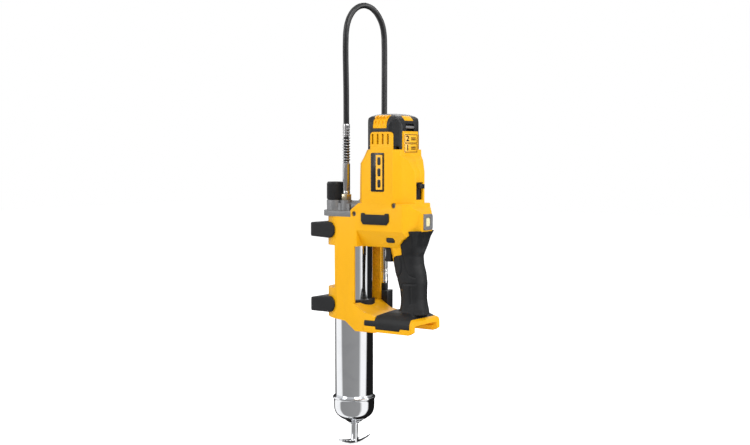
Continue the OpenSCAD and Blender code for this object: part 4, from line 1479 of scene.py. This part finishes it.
    def build_cap(self) -> None:
        """Makes the motor cap and its ribbed inserts."""
        mesh = self.shop.modified(self.shop.to_mesh(self.shop.cad_copy("motor_cap"), "cap"),
                                  self.shop.remesh(0.8, 4))
        self.crown(mesh.vertices)
        self.shop.piece("cap_cover", mesh, Slot.BLACK, stands_for=["motor_cap"], smooth=60)
        self.shop.rounded_copy("carry_bar", ["strap_bar"], Slot.GREY, 0.4, 2)
        self.shop.rounded_copy("vent_covers", ["vent_inserts"], Slot.YELLOW, 0.6, 3,
                               shape=lambda bm: self.crown(bm.verts))
        tree = RowTree()
        ribs = bmesh.new()
        for side in (-1, 1):
            mesh = tree.run("row", {
                "Count": 4, "Start": Vector((61.5, side * (self.half_w - 0.3), 138.0)) * MM,
                "Step": Vector((6.0, 0, 0)) * MM, "Bar Size": Vector((2.6, 1.6, 11.0)) * MM,
                "Turn": (0.0, 0.0, 0.0), "Material": self.shop.kit.by_slot[Slot.YELLOW],
            })
            ribs.from_mesh(mesh)
            bpy.data.meshes.remove(mesh)
        top = tree.run("top", {
            "Count": 4, "Start": Vector((61.5, -28.6, self.cap_z + self.cap_h - 0.2)) * MM,
            "Step": Vector((6.0, 0, 0)) * MM,
            "Bar Size": Vector((2.6, 9.0, 1.4)) * MM, "Turn": (0.0, 0.0, 0.0),
            "Material": self.shop.kit.by_slot[Slot.YELLOW],
        })
        ribs.from_mesh(top)
        for vert in top.vertices:
            vert.co.y = -vert.co.y
        top.flip_normals()
        ribs.from_mesh(top)
        self.crown(ribs.verts)
        self.shop.form("vent_ribs", ribs, Slot.YELLOW)

    def build_trim(self) -> None:
        """Makes the pads, plates, lamp and the numbered label."""
        self.shop.rounded_copy("flank_pads", ["side_pads"], Slot.RUBBER, 0.5, 3)
        self.shop.rounded_copy("side_plates", ["name_plates"], Slot.BLACK, 0.2, 2,
                               material=self.shop.kit.plate_black)
        self.shop.rounded_copy("number_plate", ["speed_label"], Slot.LABEL, 0.2, 2)
        self.shop.rounded_copy("lamp_frame", ["led_bezel"], Slot.GREY, 0.7, 3)
        self.build_plate_strips()
        self.build_numbers()
        self.build_lamp()

    def build_plate_strips(self) -> None:
        """Makes the plain pale strips on the side plates."""
        bm = bmesh.new()
        for side in (-1, 1):
            low, high = sorted((side * (self.half_w + 0.45), side * (self.half_w + 0.75)))
            bm = self.shop.join(
                bm, self.shop.slab(rounded_rect(64.5, 41.5, 75.6, 91.0, 1.0), low, high, Axis.Y))
        self.shop.form("plate_fields", bm, Slot.LABEL)
        marks = bmesh.new()
        for side in (-1, 1):
            row = RowTree().run("marks", {
                "Count": 3, "Start": Vector((70.0, side * (self.half_w + 0.75), 50.3)) * MM,
                "Step": Vector((0, 0, 16.0)) * MM, "Bar Size": Vector((5.6, 0.3, 11.5)) * MM,
                "Turn": (0.0, 0.0, 0.0),
                "Material": self.shop.kit.plate_black,
            })
            marks.from_mesh(row)
            bpy.data.meshes.remove(row)
        self.shop.form("plate_marks", marks, Slot.BLACK,
                        material=self.shop.kit.plate_black)

    def build_numbers(self) -> None:
        """Makes the two framed speed numbers on the back."""
        x = self.motor_x + 31.0
        frames = bmesh.new()
        digits = bmesh.new()
        for z, text in ((114.2, "2"), (101.0, "1")):
            outer = rounded_rect(-16.4, z - 6.2, 16.4, z + 6.2, 1.4)
            hole = rounded_rect(-15.3, z - 5.4, 15.3, z + 5.4, 0.7)
            frames = self.shop.join(frames, self.ring_slab(outer, hole, x - 0.1, x + 0.2))
            for drop in (-2.2, 0.4):
                strip = rounded_rect(0.5, z + drop, 12.5, z + drop + 1.5, 0.5)
                frames = self.shop.join(frames, self.shop.slab(strip, x - 0.1, x + 0.2, Axis.X))
            digits = self.shop.join(digits, self.digit(text, x, -8.5, z))
        self.shop.form("number_frames", frames, Slot.BLACK,
                        material=self.shop.kit.plate_black)
        self.shop.form("speed_numbers", digits, Slot.BLACK,
                        material=self.shop.kit.plate_black)

    @staticmethod
    def ring_slab(outer: Sequence[Flat], inner: Sequence[Flat], x0: float, x1: float) -> bmesh.types.BMesh:
        """A flat frame facing along X.

        Args:
            outer: Outer outline, (y, z).
            inner: Inner outline with as many points.
            x0: Back.
            x1: Front.

        Returns:
            The closed form.
        """
        bm = bmesh.new()
        rings = [[bm.verts.new(Vector((x, y, z)) * MM) for y, z in line]
                 for x, line in ((x0, outer), (x1, outer), (x1, inner), (x0, inner))]
        for a, b in zip(rings, rings[1:] + rings[:1]):
            for i in range(len(a)):
                j = (i + 1) % len(a)
                bm.faces.new((a[i], a[j], b[j], b[i]))
        bmesh.ops.recalc_face_normals(bm, faces=bm.faces)
        return bm

    @staticmethod
    def digit(text: str, x: float, y: float, z: float) -> bmesh.types.BMesh:
        """A raised digit on the back plate.

        Args:
            text: The digit.
            x: Face of the plate.
            y: Its middle across the plate.
            z: Height of its middle.

        Returns:
            Its mesh.
        """
        curve = bpy.data.curves.new("digit", "FONT")
        curve.body, curve.size, curve.extrude, curve.offset = text, 11 * MM, 0.12 * MM, 0.3 * MM
        curve.align_x, curve.align_y = "CENTER", "CENTER"
        obj = bpy.data.objects.new("digit", curve)
        bpy.context.scene.collection.objects.link(obj)
        bpy.context.view_layer.update()
        mesh = bpy.data.meshes.new_from_object(obj.evaluated_get(bpy.context.evaluated_depsgraph_get()))
        bpy.data.objects.remove(obj)
        mesh.transform(Matrix.Translation(Vector((x + 0.1, y, z)) * MM) @ Matrix.Rotation(math.pi / 2, 4, "Z")
                       @ Matrix.Rotation(math.pi / 2, 4, "X") @ Matrix.Diagonal((1.5, 1.0, 1.0, 1.0)))
        bm = bmesh.new()
        bm.from_mesh(mesh)
        bpy.data.meshes.remove(mesh)
        bmesh.ops.remove_doubles(bm, verts=bm.verts, dist=1e-7)
        return bm

    def build_lamp(self) -> None:
        """Makes the ribbed lamp window."""
        z = -4.5
        body = self.shop.slab(rounded_rect(-5.95, z - 6.45, 5.95, z + 6.45, 3.0), self.led_x - 1.9,
                              self.led_x + 0.1, Axis.X)
        mesh = self.shop.modified(self.shop.to_mesh(body, "lamp"), self.shop.bevel(0.5, 3))
        self.shop.piece("lamp_window", mesh, Slot.LENS, stands_for=["led_lens"])
        ribs = RowTree().run("lamp_ribs", {
            "Count": 5, "Start": Vector((self.led_x + 0.15, -3.6, z)) * MM, "Step": Vector((0, 1.8, 0)) * MM,
            "Bar Size": Vector((0.7, 0.9, 9.5)) * MM, "Turn": (0.0, 0.0, 0.0),
            "Material": self.shop.kit.by_slot[Slot.LENS],
        })
        self.shop.piece("lamp_ribs", ribs, Slot.LENS)

    def build_screws(self) -> None:
        """Makes the housing screws' heads with their sockets."""
        heads = bmesh.new()
        sides = ((-1, ((94, -32.0, 19), (24.9, -32.0, 5.7))),
                 (1, ((38, -32.0, -152), (112, -11.0, -128), (105, -11.0, -84))))
        tree = ScrewTree()
        for side, spots in sides:
            mesh = bpy.data.meshes.new("spots")
            mesh.from_pydata([Vector(spot) * MM for spot in spots], [], [])
            holder = bpy.data.objects.new("spots", mesh)
            bpy.context.scene.collection.objects.link(holder)
            made = tree.run("screw_heads", {
                "Head Radius": 3.4 * MM, "Head Depth": 2.0 * MM,
                "Material": self.shop.kit.by_slot[Slot.DARK_STEEL],
                "Spots": holder,
            })
            bpy.data.objects.remove(holder)
            if side > 0:
                for vert in made.vertices:
                    vert.co.y = -vert.co.y
                made.flip_normals()
            heads.from_mesh(made)
            bpy.data.meshes.remove(made)
        self.shop.form("screw_heads", heads, Slot.DARK_STEEL,
                        stands_for=["housing_screws"])

    def build_wall_ribs(self) -> None:
        """Makes the crossed stiffening ribs inside the frame's walls."""
        tree = RowTree()
        ribs = bmesh.new()
        for side in (-1, 1):
            for lean in (-1, 1):
                made = tree.run("ribs", {
                    "Count": 9, "Start": Vector((17.5, side * 31.6, -50.0)) * MM,
                    "Step": Vector((0, 0, -7.6)) * MM,
                    "Bar Size": Vector((1.1, 1.2, 17.0)) * MM, "Turn": (0.0, lean * 0.95, 0.0),
                    "Material": self.shop.kit.by_slot[Slot.YELLOW],
                })
                ribs.from_mesh(made)
                bpy.data.meshes.remove(made)
        self.shop.form("wall_ribs", ribs, Slot.YELLOW)

    def build_collar(self) -> None:
        """Makes the black lip of the guide ring at the foot of the window."""
        lip = self.shop.spin([(28.9, -129.0), (31.4, -129.0), (31.4, -123.2), (30.8, -122.4), (29.5, -122.4),
                              (28.9, -123.0)], (0.0, 0.0), 96)
        self.shop.form("guide_lip", lip, Slot.BLACK)

    def build_rests(self) -> None:
        """Makes the two rubber rests with their raised rims."""
        for node in ("upper_foot", "lower_foot"):
            bm = self.shop.cad_copy(node)
            mesh = self.shop.modified(self.shop.to_mesh(bm, node), self.shop.remesh(0.8, 8))
            self.shop.piece(node.replace("foot", "rest"), mesh, Slot.RUBBER, stands_for=[node], smooth=60)

    def build(self) -> None:
        """Builds the whole skin."""
        self.build_housing()
        self.build_rubber()
        self.build_cap()
        self.build_trim()
        self.build_rests()
        self.build_screws()
        self.build_wall_ribs()
        self.build_collar()


@dataclass
class Controls:
    """Trigger, lock button and speed selector."""

    shop: Workshop

    def build(self) -> None:
        """Makes the three controls."""
        bm = self.shop.cad_copy("trigger")
        mesh = self.shop.modified(self.shop.to_mesh(bm, "trigger"), self.shop.remesh(0.45, 8))
        self.shop.piece("finger_trigger", mesh, Slot.BLACK, "trigger", ["trigger"], 60)
        self.shop.rounded_copy("lock_slide", ["lock_button"], Slot.BLACK, 0.9, 4, "lock_button")
        self.shop.rounded_copy("selector_slide", ["speed_selector"], Slot.BLACK, 0.6, 3, "speed_selector")


@dataclass
class PumpHead:
    """The cast head, its bleed knob and the hose nut. Millimetres."""

    shop: Workshop
    knob: Flat = (-31.4, -5.0)
    knob_r: float = 12.4

    def build(self) -> None:
        """Makes the head's visible pieces."""
        self.shop.rounded_copy("cast_head", ["pump_head"], Slot.CAST, 0.8, 3)
        self.shop.rounded_copy("hose_union", ["hose_nut"], Slot.BRASS, 0.6, 2, angle=20)
        r = self.knob_r
        line = [(3.0, 15.0), (3.0, 24.1), (r - 1.4, 24.1), (r - 0.7, 24.8), (r - 0.7, 49.4), (r - 1.0, 50.4),
                (r - 1.9, 51.0), (r - 3.2, 50.7), (r - 4.0, 50.1), (0.0, 49.9)]
        body = self.shop.spin([(0.0, 15.0), *line], self.knob, 96, closed=False)
        ribs = RingTree().run("ribs", {
            "Count": 40, "Ring Radius": (r - 0.75) * MM, "Centre": Vector((*self.knob, 37.0)) * MM,
            "Rib Radius": 0.7 * MM,
            "Rib Height": 23.0 * MM, "Material": self.shop.kit.by_slot[Slot.BLACK],
        })
        body.from_mesh(ribs)
        self.shop.form("bleed_cap", body, Slot.BLACK, "bleed_knob", ["bleed_knob"])


@dataclass
class BarrelUnit:
    """The plated barrel, its end cap and the pull handle. Millimetres."""

    shop: Workshop
    radius: float = 28.5
    wall: float = 1.2
    length: float = 270.0

    def build(self) -> None:
        """Makes the plated pieces."""
        r, z = self.radius, -self.length
        tube = self.shop.spin([(r - self.wall, z), (r - 0.2, z), (r, z + 0.3), (r, -2.3), (r - 0.3, -2.0),
                               (r - self.wall, -2.0)],
                              segments=128)
        self.shop.form("barrel_tube", tube, Slot.CHROME, "barrel", ["barrel"])
        bowl = smooth_line([(r + 2.0, z - 6), (r + 1.95, z - 14), (r + 1.4, z - 19.5), (r - 0.6, z - 25.2),
                            (r - 3.8, z - 29.2),
                            (r - 8.7, z - 33), (r - 14.5, z - 36.2), (10.5, z - 39.0), (7.9, z - 40.3)], 5)
        inner = smooth_line([(5.6, z - 37), (12.0, z - 35), (18.5, z - 31), (23.1, z - 27), (26.5, z - 22),
                             (28.4, z - 17),
                             (28.45, z - 4)], 4)
        cap = self.shop.spin(
            [(r + 0.02, z), (r + 3.0, z), (r + 3.4, z - 0.35), (r + 3.5, z - 1.2), (r + 3.5, z - 2.0),
             (r + 3.3, z - 2.7),
             (r + 2.7, z - 3.1), (r + 2.2, z - 3.8), *bowl, (7.7, z - 40.8), (7.6, z - 41.7), (7.2, z - 42),
             (5.6, z - 42), *inner],
            segments=128)
        self.shop.form("cap_bowl", cap, Slot.CHROME, "barrel", ["end_cap"])
        bm = self.shop.cad_copy("pull_handle")
        mesh = self.shop.modified(self.shop.to_mesh(bm, "pull"), self.shop.remesh(0.5, 5))
        self.shop.piece("tee_handle", mesh, Slot.CHROME, "rod", ["pull_handle"], 60)
        self.shop.spring("follower_spring", "barrel", "rod_pull", 205.0, at_top=False)
        self.shop.spring("check_spring", "root", "check_ball_lift", 1.2, at_top=True)


def main() -> None:
    """Builds the studio, the hose and every sub-assembly, in that order."""
    logging.basicConfig(level=logging.INFO, format="%(name)s: %(message)s")
    Studio().build()
    kit = FinishKit()
    kit.dress_frame()
    shop = Workshop(kit)
    HoseRun(shop).build()
    for part in (Shell(shop), Controls(shop), PumpHead(shop), BarrelUnit(shop)):
        part.build()
        log.info("%s built", type(part).__name__)
    shop.rounded_copy("coupler_clip", ["coupler_holder"], Slot.BLACK, 0.7, 3)


if __name__ == "__main__":
    main()
